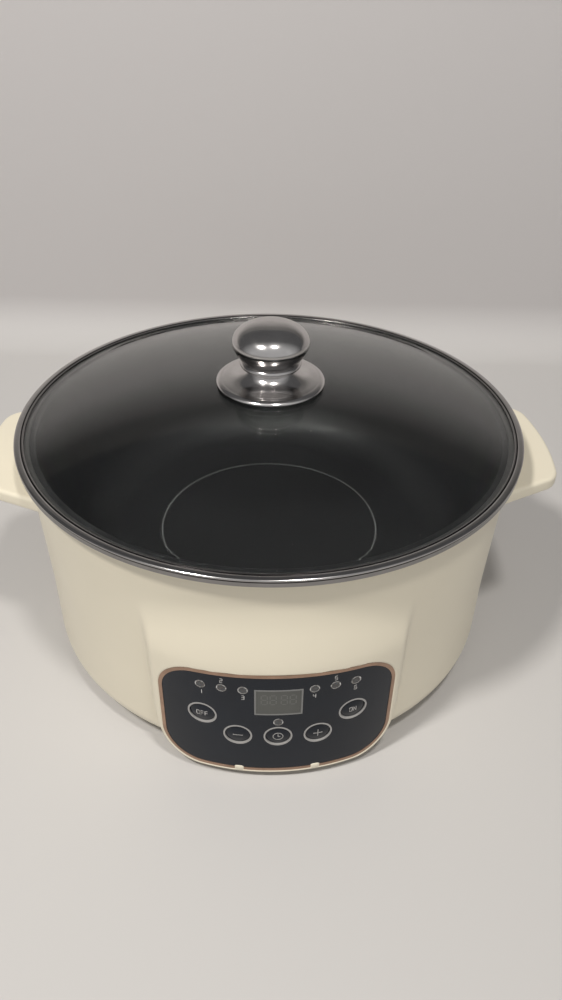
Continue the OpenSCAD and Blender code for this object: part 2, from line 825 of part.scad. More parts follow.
module inlet_pins() {
    color([0.80, 0.72, 0.45]) for (p = PINS) at_inlet(socket_y - socket_d - pin_tail)
        translate([p[0], p[1], 0]) cylinder(r = pin_r, h = pin_l + pin_tail);
}

module inlet_screws() {
    color(STEEL) for (x = [-1, 1]) translate([x * inlet_screw_x, socket_y, inlet_z])
        rotate([-90, 0, 0]) screw(inlet_screw_r, 9, 2.7, 1.5);
}

module power_board() {
    color([0.10, 0.34, 0.20]) difference() {
        translate([-power_l / 2, power_y - power_w / 2, power_z]) cube([power_l, power_w, board_t]);
        for (p = POWER_POSTS) translate([p[0], p[1], power_z - 1])
            cylinder(r = power_screw_r + 0.3, h = board_t + 2);
    }
}

module power_components() {
    z = power_z + board_t;
    color([0.25, 0.27, 0.32]) {
        translate([-30, power_y - 18, z]) cube([19, 15, 15]);
        translate([12, power_y - 20, z]) cube([22, 20, 13]);
        translate([-22, power_y + 14, z]) cylinder(r = 6, h = 14);
        translate([-6, power_y + 14, z]) cylinder(r = 5, h = 12);
        translate([10, power_y + 12, z]) cube([24, 8, 9]);
    }
}

module power_board_screws() {
    color(STEEL) for (p = POWER_POSTS) translate([p[0], p[1], power_z + board_t])
        screw(power_screw_r, 6, 2.3, 1.4);
}

// ---- control panel ----

// outline of the panel in x and z, drawn in by g: a crowned top edge that runs into the upper
// corners, and notches for the two catches in the lower edge
module panel_outline(g) {
    low = [panel_w / 2 - panel_low_r, panel_z + panel_low_r];
    crown_z = panel_z + panel_h - crown_r;
    top_x = panel_w / 2 - panel_top_r;
    rise = sqrt(pow(crown_r - panel_top_r, 2) - top_x * top_x);
    high = [top_x, crown_z + rise];
    reach = 1 + 2 * panel_top_r / rise;
    e = min(g, 0);
    difference() {
        union() {
            translate([-low[0], panel_z + g]) square([2 * low[0], panel_low_r]);
            translate([g - panel_w / 2, low[1]]) square([panel_w - 2 * g, high[1] - low[1]]);
            translate([0, crown_z]) intersection() {
                circle(r = crown_r - g, $fn = ARC_FN);
                polygon([[-top_x, rise], [-top_x * reach, rise * reach],
                    [top_x * reach, rise * reach], [top_x, rise]]);
            }
            for (x = [-1, 1]) {
                translate([x * low[0], low[1]]) circle(r = panel_low_r - g);
                translate([x * high[0], high[1]]) circle(r = panel_top_r - g);
            }
        }
        for (x = [-1, 1]) translate([x * catch_x - catch_w / 2 - e, panel_z - 1])
            square([catch_w + 2 * e, catch_h + 1 + e]);
    }
}

// holes for buttons and lamps, drawn in x and z; in the panel they are wider than in the wall
module face_holes(in_panel) {
    for (p = BUTTONS) translate([p[0], panel_z + p[1]])
        circle(r = in_panel ? ring_r + fit_gap : cap_r + slide_gap);
    for (p = LAMPS) translate([p[0], panel_z + p[1]])
        circle(r = lamp_r + fit_gap - (in_panel ? 0 : lens_step));
}

module front_panel() {
    color([0.13, 0.14, 0.18]) difference() {
        intersection() {
            face_slab(back_r, face_r);
            along_y(front_y, cut_y) panel_outline(trim_w + fit_gap);
        }
        along_y(front_y, cut_y) face_holes(true);
        along_y(front_y, cut_y) translate([0, panel_z + window_mid])
            square([window_w + 2 * fit_gap, window_h + 2 * fit_gap], center = true);
    }
}

module panel_trim() {
    color([0.72, 0.50, 0.36]) intersection() {
        face_slab(back_r, face_r + trim_proud);
        along_y(front_y, cut_y) difference() {
            panel_outline(0);
            panel_outline(trim_w);
        }
    }
}

module button_rings() {
    color(PALE) intersection() {
        face_slab(back_r, face_r + 0.1);
        along_y(front_y, cut_y) for (p = BUTTONS) translate([p[0], panel_z + p[1]]) difference() {
            circle(r = ring_r);
            circle(r = ring_r - ring_line);
        }
    }
}

module display_bezel() {
    color(PALE) intersection() {
        face_slab(back_r, face_r + 0.1);
        along_y(front_y, cut_y) translate([0, panel_z + window_mid]) difference() {
            square([window_w, window_h], center = true);
            square([window_w - 2 * bezel_w, window_h - 2 * bezel_w], center = true);
        }
    }
}

module display_window() {
    color([0.35, 0.38, 0.36, 0.8]) intersection() {
        face_slab(back_r, face_r);
        along_y(front_y, cut_y) translate([0, panel_z + window_mid])
            square([window_w - 2 * (bezel_w + fit_gap), window_h - 2 * (bezel_w + fit_gap)],
                center = true);
    }
}

// digit module: a block that reaches from the board to just behind the wall
module display_module() {
    w = window_w - 3;
    color([0.16, 0.17, 0.17]) along_y(face_at(inner_r, w / 2) + slide_gap, board_y)
        translate([0, panel_z + window_mid]) square([w, window_h - 3], center = true);
}

module control_board() {
    color([0.10, 0.34, 0.20]) along_y(board_y, board_y + board_t) difference() {
        translate([-board_w / 2, board_z]) square([board_w, board_h]);
        for (x = [-post_x, post_x], z = [post_low, post_high]) translate([x, z])
            circle(r = board_screw_r + 0.3);
    }
}

module control_board_screws() {
    color(STEEL) for (x = [-post_x, post_x], z = [post_low, post_high])
        translate([x, board_y + board_t, z]) rotate([-90, 0, 0]) screw(board_screw_r, 6, 2, 1.4);
}

module push_switches() {
    color([0.2, 0.2, 0.22]) for (p = BUTTONS) {
        along_y(board_y - switch_h, board_y) translate([p[0], panel_z + p[1]])
            square([switch_w, switch_w], center = true);
        along_y(switch_y, board_y - switch_h) translate([p[0], panel_z + p[1]])
            circle(r = plunger_r);
    }
}

// lens in the panel with a light pipe to its lamp on the board
module indicator_lenses() {
    color([0.78, 0.80, 0.80]) for (p = LAMPS) {
        intersection() {
            face_slab(back_r, face_r + 0.1);
            along_y(front_y, cut_y) translate([p[0], panel_z + p[1]]) circle(r = lamp_r);
        }
        difference() {
            along_y(front_y, board_y - led_h - led_gap) translate([p[0], panel_z + p[1]])
                circle(r = lamp_r - lens_step);
            face_slab(face_r - panel_t / 2, 2 * rim_r);
        }
    }
}

module indicator_leds() {
    color([0.9, 0.9, 0.8]) for (p = LAMPS)
        along_y(board_y - led_h, board_y) translate([p[0], panel_z + p[1]]) circle(r = led_r);
}

// button whose dome is centred on the panel's normal, with a flange behind the wall and a stem
module button(p) {
    turn = asin(p[0] / face_r);
    z = panel_z + p[1];
    back = flange_y(abs(p[0]));
    color([0.12, 0.13, 0.16]) intersection() {
        union() {
            along_y(front_y, back + flange_t) translate([p[0], z]) circle(r = cap_r);
            along_y(back, back + flange_t) translate([p[0], z]) circle(r = flange_r);
            along_y(back, switch_y - button_travel - press_gap) translate([p[0], z]) circle(r = 2);
        }
        translate([0, face_y, z]) rotate([0, 0, turn])
            translate([0, button_ball - face_r - button_proud, 0]) sphere(r = button_ball, $fn = 180);
    }
}

module cancel_button() { button(BUTTONS[0]); }
module minus_button() { button(BUTTONS[1]); }
module reserve_button() { button(BUTTONS[2]); }
module plus_button() { button(BUTTONS[3]); }
module function_button() { button(BUTTONS[4]); }

// ---- lid ----

module lid_glass() {
    low = glass_z;
    flat_in = glass_r - glass_flat;
    ball = (flat_in * flat_in + dome_rise * dome_rise) / (2 * dome_rise);
    color([0.75, 0.80, 0.80, 0.35]) difference() {
        rotate_extrude() {
            translate([flat_in - 1, low]) square([glass_flat + 1, glass_t]);
            intersection() {
                translate([0, low + glass_t + dome_rise - ball]) difference() {
                    circle(r = ball, $fn = ARC_FN);
                    circle(r = ball - glass_t, $fn = ARC_FN);
                }
                translate([0, low]) square([flat_in, dome_rise + glass_t + 1]);
            }
        }
        cylinder(r = stem_r + 1.6, h = dome_top + 5);
    }
}

module lid_rim() {
    band = rim_r - band_in;
    color(STEEL) rotate_extrude() difference() {
        union() {
            translate([rim_r - bead_r, rim_top - bead_r]) circle(r = bead_r);
            translate([rim_r - upper_lip - bead_r, rim_top - upper_t]) square([upper_lip, upper_t]);
            translate([band - lower_lip, lid_z]) square([lower_lip, rim_t]);
            translate([band - band_t, lid_z]) square([band_t, rim_h - bead_r]);
        }
        translate([band - lower_lip - 1, lid_z + rim_t])
            square([lower_lip + 1 - band_t, rim_h - rim_t - upper_t]);
    }
}

module knob_head() {
    steps = 12;
    mid_z = neck_z + knob_low_h;
    dome = [for (i = [0:steps]) let (a = 90 * i / steps)
        [knob_r * cos(a), mid_z + knob_top_h * sin(a)]];
    flank = [for (i = [0:steps / 2 - 1]) let (t = i / (steps / 2), s = sin(90 * t))
        [knob_low_r + (knob_r - knob_low_r) * s, neck_z + knob_low_h * t]];
    color(STEEL) difference() {
        rotate_extrude() polygon(concat([[0, neck_z]], flank, dome));
        translate([0, 0, neck_z - 1]) cylinder(r = stem_r + screw_gap, h = stem_grip + 2);
    }
}

// section of the skirt: a neck, a concave flare and a nearly flat apron, drawn in by g
module skirt_section(g) {
    f = skirt_flare;
    low = skirt_edge - 4;
    out = skirt_r - skirt_t / 2;
    c = [neck_r + f, skirt_edge + skirt_slope + f];
    polygon([[0, low], [out, low], [out, skirt_edge + skirt_t / 2 - g], [c[0], c[1] - f - g],
        [neck_r - g, c[1] - f - g], [neck_r - g, neck_z - g], [0, neck_z - g]]);
    difference() {
        translate([neck_r - g - 0.5, c[1] - f - g]) square([f + g + 0.5, f]);
        translate(c) circle(r = f + g);
    }
}

module knob_skirt() {
    color(STEEL) difference() {
        rotate_extrude() {
            difference() {
                skirt_section(0);
                skirt_section(skirt_t);
                translate([0, skirt_edge - 5]) square([skirt_r + 1, 5]);
            }
            translate([skirt_r - skirt_t / 2, skirt_edge + skirt_t / 2])
                circle(r = skirt_t / 2, $fn = 32);
        }
        cylinder(r = stem_r + stem_gap, h = neck_z + 5);
    }
}

// round pad with a hole for the knob's screw
module pad(r, z, h) {
    translate([0, 0, z]) difference() {
        cylinder(r = r, h = h);
        translate([0, 0, -1]) cylinder(r = stem_r + stem_gap, h = h + 2);
    }
}

module knob_spacer() {
    rest = 0.02;
    color([0.2, 0.2, 0.2]) pad(pad_r, dome_top + rest, skirt_h - skirt_t - rest);
}

module knob_seal() {
    color([0.3, 0.3, 0.3]) pad(pad_r, seal_z, seal_t);
}

module knob_washer() {
    color(STEEL) pad(washer_r, washer_z, washer_t);
}

module knob_screw() {
    color(STEEL) translate([0, 0, washer_z]) rotate([180, 0, 0])
        screw(stem_r, neck_z + stem_grip - washer_z, 4.4, 2.6);
}

outer_shell();
inner_pan();
pan_gasket();
heating_plate();
heating_element();
heat_shield();
shield_screws();
plate_screws();
temperature_sensor();
sensor_spring();
thermal_fuse();
base_cover();
base_screws();
rubber_feet();
power_inlet();
inlet_pins();
inlet_screws();
power_board();
power_components();
power_board_screws();
front_panel();
panel_trim();
button_rings();
display_bezel();
display_window();
display_module();
control_board();
control_board_screws();
push_switches();
indicator_lenses();
indicator_leds();
cancel_button();
minus_button();
reserve_button();
plus_button();
function_button();
lid_glass();
lid_rim();
knob_head();
knob_skirt();
knob_spacer();
knob_screw();
knob_washer();
knob_seal();
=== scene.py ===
import json
import math

import bmesh
import bpy
import numpy as np
from mathutils import Matrix, Vector


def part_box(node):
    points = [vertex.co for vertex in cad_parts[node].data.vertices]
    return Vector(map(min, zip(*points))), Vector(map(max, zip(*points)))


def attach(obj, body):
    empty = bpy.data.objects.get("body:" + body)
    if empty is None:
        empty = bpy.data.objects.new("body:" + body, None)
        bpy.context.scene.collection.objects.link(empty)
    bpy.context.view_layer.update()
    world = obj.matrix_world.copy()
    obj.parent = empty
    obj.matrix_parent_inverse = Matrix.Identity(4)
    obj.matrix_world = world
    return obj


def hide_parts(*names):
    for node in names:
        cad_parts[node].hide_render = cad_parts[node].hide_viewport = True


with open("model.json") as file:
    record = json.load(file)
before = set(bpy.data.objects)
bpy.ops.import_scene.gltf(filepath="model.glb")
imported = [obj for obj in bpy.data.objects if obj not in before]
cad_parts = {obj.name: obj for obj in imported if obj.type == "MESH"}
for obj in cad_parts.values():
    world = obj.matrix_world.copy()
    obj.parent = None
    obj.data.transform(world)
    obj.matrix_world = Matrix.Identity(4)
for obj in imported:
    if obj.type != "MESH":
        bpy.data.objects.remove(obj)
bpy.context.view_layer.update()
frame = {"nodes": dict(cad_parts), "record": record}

bl_info = {
    "name": "Hot pot dressing",
    "version": (1, 0, 0),
    "blender": (4, 5, 0),
    "location": "View3D > Sidebar > Hot pot",
    "description": "Surfaces and finishes of an electric hot pot with a glass lid",
    "category": "Object",
}

MM = 0.001
SHELL_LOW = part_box("outer_shell")[0][2]
SHELL_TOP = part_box("outer_shell")[1][2]
BRIM_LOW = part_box("pan_gasket")[1][2]
BRIM_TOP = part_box("inner_pan")[1][2]
RIM_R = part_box("lid_rim")[1][0]
RIM_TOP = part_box("lid_rim")[1][2]
EAR_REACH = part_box("outer_shell")[1][0]
PANEL_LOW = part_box("panel_trim")[0][2]
PANEL_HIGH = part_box("panel_trim")[1][2]
PANEL_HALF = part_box("panel_trim")[1][0]
KNOB_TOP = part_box("knob_head")[1][2]
KNOB_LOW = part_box("knob_head")[0][2]
KNOB_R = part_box("knob_head")[1][0]
SKIRT_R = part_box("knob_skirt")[1][0]
SKIRT_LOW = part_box("knob_skirt")[0][2]
DOME_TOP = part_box("lid_glass")[1][2]
PAN_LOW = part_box("inner_pan")[0][2]
INLET_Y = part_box("power_inlet")[1][1] - 2 * MM
INLET_Z = (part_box("power_inlet")[0][2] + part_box("power_inlet")[1][2]) / 2


# ---- settings ----

def length(name, description, millimetres):
    return bpy.props.FloatProperty(name=name, description=description, default=millimetres * MM,
                                   unit="LENGTH", subtype="DISTANCE", precision=5)


def angle(name, description, degrees):
    return bpy.props.FloatProperty(name=name, description=description, subtype="ANGLE",
                                   default=math.radians(degrees))


def colour(name, description, default):
    return bpy.props.FloatVectorProperty(name=name, description=description, default=default,
                                         subtype="COLOR", size=3, min=0.0, max=1.0)


class HotPotShell(bpy.types.PropertyGroup):
    body_r: length("Body radius", "Outer radius of the straight part of the shell", 141.7)
    top_r: length("Top radius", "Outer radius of the shell's top edge", 144.6)
    flare_z: length("Flare height", "Height where the shell starts to widen", 62)
    base_round: length("Base rounding", "Rounding of the shell's lower edge", 16)
    wall: length("Wall", "Thickness of the shell", 2.2)
    face_r: length("Face radius", "Radius of the housing's curved face", 130.4)
    slope_gap: length("Slope gap", "Distance from the panel to the slope above it", 3.3)
    slope_h: length("Slope height", "Height of the slope above the panel", 33.5)
    slope_in: length("Slope depth", "How far the slope leans back", 6.6)
    side_w: length("Side blend", "Width of the blend at the housing's sides", 9)
    ear_root: length("Ear root", "Half width of a handle at the shell", 57)
    ear_tip: length("Ear tip", "Half distance of a handle's outer corners", 30)
    ear_corner: length("Ear corner", "Rounding of a handle's outer corners", 14)
    ear_top: length("Ear height", "Height of a handle's top face", 128.5)
    ear_t: length("Ear thickness", "Thickness of a handle at its edge", 8.5)
    cream: colour("Cream", "Colour of the moulded shell", (0.76, 0.70, 0.56))


class HotPotPan(bpy.types.PropertyGroup):
    mouth_r: length("Mouth radius", "Radius of the pan's mouth", 137)
    floor_r: length("Floor radius", "Radius of the pan's flat floor", 96)
    corner_r: length("Corner radius", "Curve between floor and wall", 28)
    sheet: length("Sheet", "Thickness of the pan", 2)
    ring_r: length("Ring radius", "Radius of the raised ring on the floor", 70.7)
    coating: colour("Coating", "Colour of the non-stick coating", (0.007, 0.007, 0.0075))


class HotPotLid(bpy.types.PropertyGroup):
    glass_t: length("Glass", "Thickness of the glass", 3.4)
    glass_r: length("Glass radius", "Radius of the glass", 148.5)
    flat_w: length("Flat edge", "Width of the glass's flat edge", 7.6)
    hole_r: length("Hole", "Radius of the hole for the knob's screw", 4)
    bead_w: length("Bead", "Half width of the bead along the rim's outer edge", 2.0)
    bead_h: length("Bead height", "Height of the bead", 1.0)
    lip_w: length("Lip", "Half width of the rim's inner lip on the glass", 0.75)
    sunk: length("Sunk edge", "How far the glass's flat edge lies below the lip's own seat", 0.4)
    foot_w: length("Foot", "Width of the rim's lower lip", 8.5)
    neck_r: length("Neck", "Radius of the neck under the knob", 14)
    ridge_r: length("Ridge", "Radius of the ridge under the knob's head", 17.9)
    ridge_h: length("Flank", "Height from the ridge to the widest part", 14.4)
    steel: colour("Steel", "Colour of the polished steel", (0.68, 0.66, 0.65))


class HotPotPanel(bpy.types.PropertyGroup):
    upper_r: length("Upper corners", "Radius of the panel's upper corners", 21)
    lower_r: length("Lower corners", "Radius of the panel's lower corners", 22)
    crown: length("Crown", "How far the top edge rises between its corners", 1.5)
    catch_x: length("Catches", "Distance of the two catches from the middle", 21.3)
    ball: length("Button dome", "Radius of the ball that a button's dome is part of", 25)
    # size of the dark sheets painted as shade in the gap round each button
    gap_shade_r: length("Wells", "Radius of the dark gap round a button", 6.5)
    gap_shade_w: length("Well width", "Width of the dark gap round a button", 1.6)
    label_h: length("Label height", "Height of the small numbers", 2.9)
    word_h: length("Word height", "Height of the signs on the buttons", 3.6)
    gloss: colour("Panel", "Colour of the dark panel", (0.006, 0.009, 0.015))
    copper: colour("Trim", "Colour of the trim", (0.40, 0.26, 0.185))
    print: colour("Print", "Colour of the printed lines", (0.36, 0.35, 0.34))


class HotPotStage(bpy.types.PropertyGroup):
    focal: bpy.props.FloatProperty(name="Focal length", description="Lens in millimetres",
                                   default=28.63)
    pitch: angle("Pitch", "How far the camera looks down", 36.44)
    roll: angle("Roll", "Tilt of the camera", 1.11)
    yaw: angle("Yaw", "Turn of the pot before the camera", 3.2)
    place: bpy.props.FloatVectorProperty(name="Camera place",
                                         description="Camera before the pot is turned",
                                         default=(0.0075, -0.4187, 0.3941), unit="LENGTH")
    floor: colour("Floor", "Colour of the table", (0.56, 0.545, 0.53))
    wall: colour("Wall", "Colour of the backdrop", (0.50, 0.48, 0.475))


def settings(group):
    return getattr(bpy.context.scene, "hotpot_" + group)


# ---- meshes from arrays ----

def columns(*values):
    """Points from arrays of their coordinates."""
    return np.stack(np.broadcast_arrays(*values), axis=-1)


def new_object(name, data):
    ob = bpy.data.objects.new(name, data)
    bpy.context.scene.collection.objects.link(ob)
    return ob


def mesh_from(name, points, faces, sharp=math.radians(38)):
    """Object from an (n, 3) array of points and an (m, 4) array of quads, merged and smooth."""
    me = bpy.data.meshes.new(name)
    me.vertices.add(len(points))
    me.vertices.foreach_set("co", np.ascontiguousarray(points, dtype=np.float32).ravel())
    me.loops.add(faces.size)
    me.loops.foreach_set("vertex_index", faces.astype(np.int32).ravel())
    me.polygons.add(len(faces))
    me.polygons.foreach_set("loop_start", np.arange(0, faces.size, 4, dtype=np.int32))
    me.update(calc_edges=True)
    tidy_mesh(me, sharp)
    return new_object(name, me)


def tidy_mesh(me, sharp, merge=2e-7, recalc=True):
    """Merges doubled points, closes poles, points the faces outwards and marks sharp edges."""
    bm = bmesh.new()
    bm.from_mesh(me)
    bmesh.ops.remove_doubles(bm, verts=bm.verts, dist=merge)
    bmesh.ops.dissolve_degenerate(bm, edges=bm.edges, dist=merge)
    if recalc:
        bmesh.ops.recalc_face_normals(bm, faces=bm.faces)
    bm.to_mesh(me)
    bm.free()
    me.polygons.foreach_set("use_smooth", np.ones(len(me.polygons), dtype=bool))
    me.set_sharp_from_angle(angle=sharp)
    me.update()


def grid_faces(rows, cols, wrap_rows, wrap_cols):
    """Quads of a grid of points; a wrapped direction joins its last line to its first."""
    index = np.arange(rows * cols).reshape(rows, cols)
    if wrap_rows:
        index = np.vstack([index, index[:1]])
    if wrap_cols:
        index = np.hstack([index, index[:, :1]])
    quads = [index[:-1, :-1], index[1:, :-1], index[1:, 1:], index[:-1, 1:]]
    return np.stack(quads, axis=-1).reshape(-1, 4)


def patch(points, wrap_rows, wrap_cols):
    """Points and quads of a surface from its points in rows."""
    return points.reshape(-1, 3), grid_faces(*points.shape[:2], wrap_rows, wrap_cols)


def revolved(name, profile, steps=256, closed=True, sharp=math.radians(38)):
    """Profile of radius and height carried round Z: x = r cos a, y = r sin a, z = h."""
    profile = np.asarray(profile, dtype=float)
    a = np.linspace(0.0, 2 * np.pi, steps, endpoint=False)
    r, z = profile[:, 0], profile[:, 1]
    points = columns(np.outer(np.cos(a), r), np.outer(np.sin(a), r), z)
    return mesh_from(name, *patch(points, True, closed), sharp)


def oval(cx, cz, rx, rz, start, end, count):
    """Points of an arc of an ellipse with upright axes, between two angles in degrees."""
    a = np.radians(np.linspace(start, end, count))
    return columns(cx + rx * np.cos(a), cz + rz * np.sin(a))


def arc(cx, cz, r, start, end, count):
    """Points of an arc round (cx, cz), between two angles in degrees."""
    return oval(cx, cz, r, r, start, end, count)


def line(x0, z0, x1, z1, count=2):
    """Evenly spaced points of a straight line."""
    return columns(np.linspace(x0, x1, count), np.linspace(z0, z1, count))


def smooth_step(t):
    """0 below 0, 1 above 1, and the quintic 6t^5 - 15t^4 + 10t^3 between."""
    t = np.clip(t, 0.0, 1.0)
    return t * t * t * (t * (6 * t - 15) + 10)


def soft_max(a, b, k):
    """The larger of two values, rounded off where they differ by less than k."""
    h = np.clip(0.5 + 0.5 * (a - b) / k, 0.0, 1.0)
    return b + (a - b) * h + k * h * (1 - h)


def finish_piece(ob, body, slot_name, *nodes, look=None):
    """Gives a piece the material of its slot or one named look, and lets it stand for CAD nodes on
    a body."""
    ob.data.materials.clear()
    ob.data.materials.append(bpy.data.materials[look or slot_name])
    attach(ob, body)
    if nodes:
        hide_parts(*nodes)


def read(items, key, width=1, kind=np.float32):
    """Array of one property of all items of a mesh."""
    values = np.empty(len(items) * width, dtype=kind)
    items.foreach_get(key, values)
    return values.reshape(-1, width) if width > 1 else values


def smooth_copy(node, body, slot_name, away, look=None):
    """A merged copy of a CAD node's mesh, which stands for the node. Its faces that look along the
    direction away(points) from an axis or a centre are shaded with exactly that direction."""
    me = frame["nodes"][node].data.copy()
    me.name = node + "_surface"
    tidy_mesh(me, math.radians(30), merge=1e-6, recalc=False)
    normals = read(me.corner_normals, "vector", 3)
    corners = read(me.polygons, "loop_total", kind=np.int32)
    face_normal = np.repeat(read(me.polygons, "normal", 3), corners, axis=0)
    vertex = read(me.loops, "vertex_index", kind=np.int32)
    radial = away(read(me.vertices, "co", 3)[vertex])
    front = (face_normal * radial).sum(axis=1) > math.cos(math.radians(16))
    normals[front] = radial[front]
    me.normals_split_custom_set(normals.tolist())
    finish_piece(new_object(node + "_surface", me), body, slot_name, node, look=look)


def from_face_axis(points):
    """Direction away from the axis of the housing's curved face."""
    d = columns(points[:, 0], points[:, 1] - face_centre(), 0.0)
    return d / np.linalg.norm(d, axis=1)[:, None]


# ---- finishes ----

class Nodes:
    """Small helper that builds a node tree. What it makes is passed on as a node's output."""

    def __init__(self, tree):
        self.tree = tree

    def put(self, node, inputs):
        """Gives inputs, by name or number, a value or the output of another node."""
        for key, value in inputs.items():
            if isinstance(value, bpy.types.NodeSocket):
                self.tree.links.new(value, node.inputs[key])
            else:
                node.inputs[key].default_value = value

    def add(self, kind, inputs, out=0, **settings):
        """Output of a new node, by name or number."""
        node = self.tree.nodes.new("ShaderNode" + kind)
        for key, value in settings.items():
            setattr(node, key, value)
        self.put(node, inputs)
        return node.outputs[out]

    def ramp(self, source, *stops):
        """Colour of a source along stops, each a place and a colour or a grey."""
        out = self.add("ValToRGB", {"Fac": source}, "Color")
        points = out.node.color_ramp.elements
        points[0].position, points[1].position = stops[0][0], stops[-1][0]
        for place, _ in stops[1:-1]:
            points.new(place)
        for point, (_, tone) in zip(points, stops):
            point.color = (*tone, 1) if isinstance(tone, tuple) else (tone, tone, tone, 1)
        return out

    def remap(self, source, low, high, start=0.0, end=1.0):
        """A source's run from low to high, carried to one from start to end."""
        return self.add("MapRange", {"Value": source, "From Min": low, "From Max": high,
                                     "To Min": start, "To Max": end}, "Result")


class Finish(Nodes):
    """One node material on object coordinates."""

    def __init__(self, name):
        self.mat = bpy.data.materials.get(name) or bpy.data.materials.new(name)
        self.mat.use_nodes = True
        super().__init__(self.mat.node_tree)
        self.tree.nodes.clear()
        self.shader = self.add("BsdfPrincipled", {}, "BSDF")
        self.out = self.tree.nodes.new("ShaderNodeOutputMaterial")
        self.put(self.out, {"Surface": self.shader})
        self.coords = self.add("TexCoord", {}, "Object")

    def set(self, **inputs):
        self.put(self.shader.node, {key.replace("_", " "): v for key, v in inputs.items()})

    def mapped(self, scale=(1, 1, 1), turn=(0, 0, 0)):
        inputs = {"Vector": self.coords, "Scale": scale, "Rotation": turn}
        return self.add("Mapping", inputs, "Vector")

    def noise(self, scale, detail=3.0, rough=0.5, stretch=(1, 1, 1)):
        return self.add("TexNoise", {"Vector": self.mapped(stretch), "Scale": scale,
                                     "Detail": detail, "Roughness": rough}, "Fac")

    def height(self):
        """Height over the table."""
        return self.add("SeparateXYZ", {"Vector": self.coords}, "Z")

    def radius(self):
        """Distance from the Z axis."""
        inputs = {"Vector": self.mapped((1, 1, 0))}
        return self.add("VectorMath", inputs, "Value", operation="LENGTH")

    def mix(self, share, a, b, blend="MIX"):
        inputs = {"Factor": share, "A": a, "B": b}
        return self.add("Mix", inputs, "Result", data_type="RGBA", blend_type=blend)

    def mix_shaders(self, share, a, b):
        mixed = self.add("MixShader", {"Fac": share, 1: a, 2: b}, "Shader")
        self.put(self.out, {"Surface": mixed})

    def tint(self, source, base, low, high):
        """Base colour that drifts between a darker and a paler shade."""
        self.set(Base_Color=self.ramp(source, (0.3, shade(base, low)), (0.7, shade(base, high))))

    def gloss(self, source, low, high):
        """Roughness that runs from low to high with a source between 0 and 1."""
        self.set(Roughness=self.remap(source, 0.0, 1.0, low, high))

    def bump(self, source, depth, strength):
        inputs = {"Height": source, "Distance": depth, "Strength": strength}
        self.set(Normal=self.add("Bump", inputs, "Normal"))


def shade(base, factor):
    return tuple(min(1.0, c * factor) for c in base)


def moulded_plastic(name, base, rough, grain=900.0, depth=0.00003):
    """Moulded plastic: a faint colour drift, uneven gloss and a fine skin."""
    f = Finish(name)
    f.tint(f.noise(9.0, 4.0), base, 0.965, 1.02)
    f.gloss(f.noise(40.0, 5.0, 0.6), rough - 0.05, rough + 0.07)
    f.bump(f.noise(grain, 2.0), depth, 0.25)


def nonstick(name, base, ring_r):
    """Black coating with sparse pale flecks, a soft, uneven sheen and a pale line painted along
    its raised ring, a painted highlight where light catches the ring.
    """
    f = Finish(name)
    cells = f.add("TexVoronoi", {"Vector": f.coords, "Scale": 210.0}, "Distance")
    fleck = f.ramp(cells, (0.05, (0.16, 0.155, 0.15)), (0.10, base))
    coat = f.mix(f.ramp(f.noise(150.0, 1.0), (0.60, 0), (0.66, 1)), (*base, 1), fleck)
    off = f.add("Math", {0: f.radius(), 1: ring_r}, operation="SUBTRACT")
    near = f.add("Math", {0: off}, operation="ABSOLUTE")
    # painted highlight: a pale line along the raised ring, where light would catch its slopes
    ring_highlight = f.remap(near, 0.2 * MM, 0.7 * MM, 0.8, 0.0)
    f.set(Base_Color=f.mix(ring_highlight, coat, (0.11, 0.11, 0.11, 1)), Specular_IOR_Level=0.2)
    f.gloss(f.noise(18.0, 5.0), 0.34, 0.5)
    f.bump(f.noise(700.0, 2.0), 0.00003, 0.3)


def lathe_lines(f, strength):
    """Fine lines round Z: noise drawn out along the table."""
    f.bump(f.noise(2400.0, 2.0, 0.5, (0.02, 0.02, 1.0)), 0.000012, strength)


def polished_steel(name, base, painted_dark_band=None):
    """Polished steel with fine lathe lines round Z and a few dull smears, painted darker between
    the two heights given for the band: a painted reflection of a dark room."""
    f = Finish(name)
    tint = f.ramp(f.noise(60.0, 6.0, 0.65), (0.35, shade(base, 0.86)), (0.65, base))
    # painted reflection: the steel is painted darker between the band's two heights, standing in
    # for the knob's flank reflecting a dark room
    if painted_dark_band:
        band = f.ramp(f.remap(f.height(), *painted_dark_band), (0.0, 1), (0.15, 0.3), (0.9, 0.3), (1.0, 1))
        tint = f.mix(1.0, tint, band, "MULTIPLY")
    f.set(Metallic=1.0, Base_Color=tint)
    f.gloss(f.noise(85.0, 4.0, 0.6), 0.08, 0.24)
    lathe_lines(f, 0.22)


def rim_steel(name, base, groove_r):
    """Polished steel with painted shade: near black in the groove and in the crease under the
    bead, and somewhat darker on the lip inside the groove and on the band below the crease, for
    shade and dark reflections there. The band below the crease is also duller."""
    f = Finish(name)
    place = f.remap(f.height(), RIM_TOP - 4.0 * MM, RIM_TOP)
    # painted shade: the rim is painted near black in the crease under the bead and in the groove,
    # and somewhat darker on the lip and on the band below, for shade and dark reflections there
    crease_shade = f.ramp(place, (0.44, 0.6), (0.50, 0), (0.70, 0), (0.76, 1))
    across = f.remap(f.radius(), groove_r - 1.0 * MM, groove_r + 1.0 * MM)
    groove = f.ramp(across, (0.22, 0.6), (0.34, 0), (0.64, 0), (0.78, 1))
    unshaded = f.add("Math", {0: crease_shade, 1: groove}, operation="MULTIPLY")
    tint = f.ramp(unshaded, (0.0, (0.012, 0.011, 0.011)), (1.0, base))
    wear = f.ramp(f.noise(60.0, 6.0, 0.65), (0.35, 0.86), (0.65, 1))
    f.set(Metallic=1.0, Base_Color=f.mix(1.0, tint, wear, "MULTIPLY"))
    f.gloss(place, 0.4, 0.14)
    lathe_lines(f, 0.2)


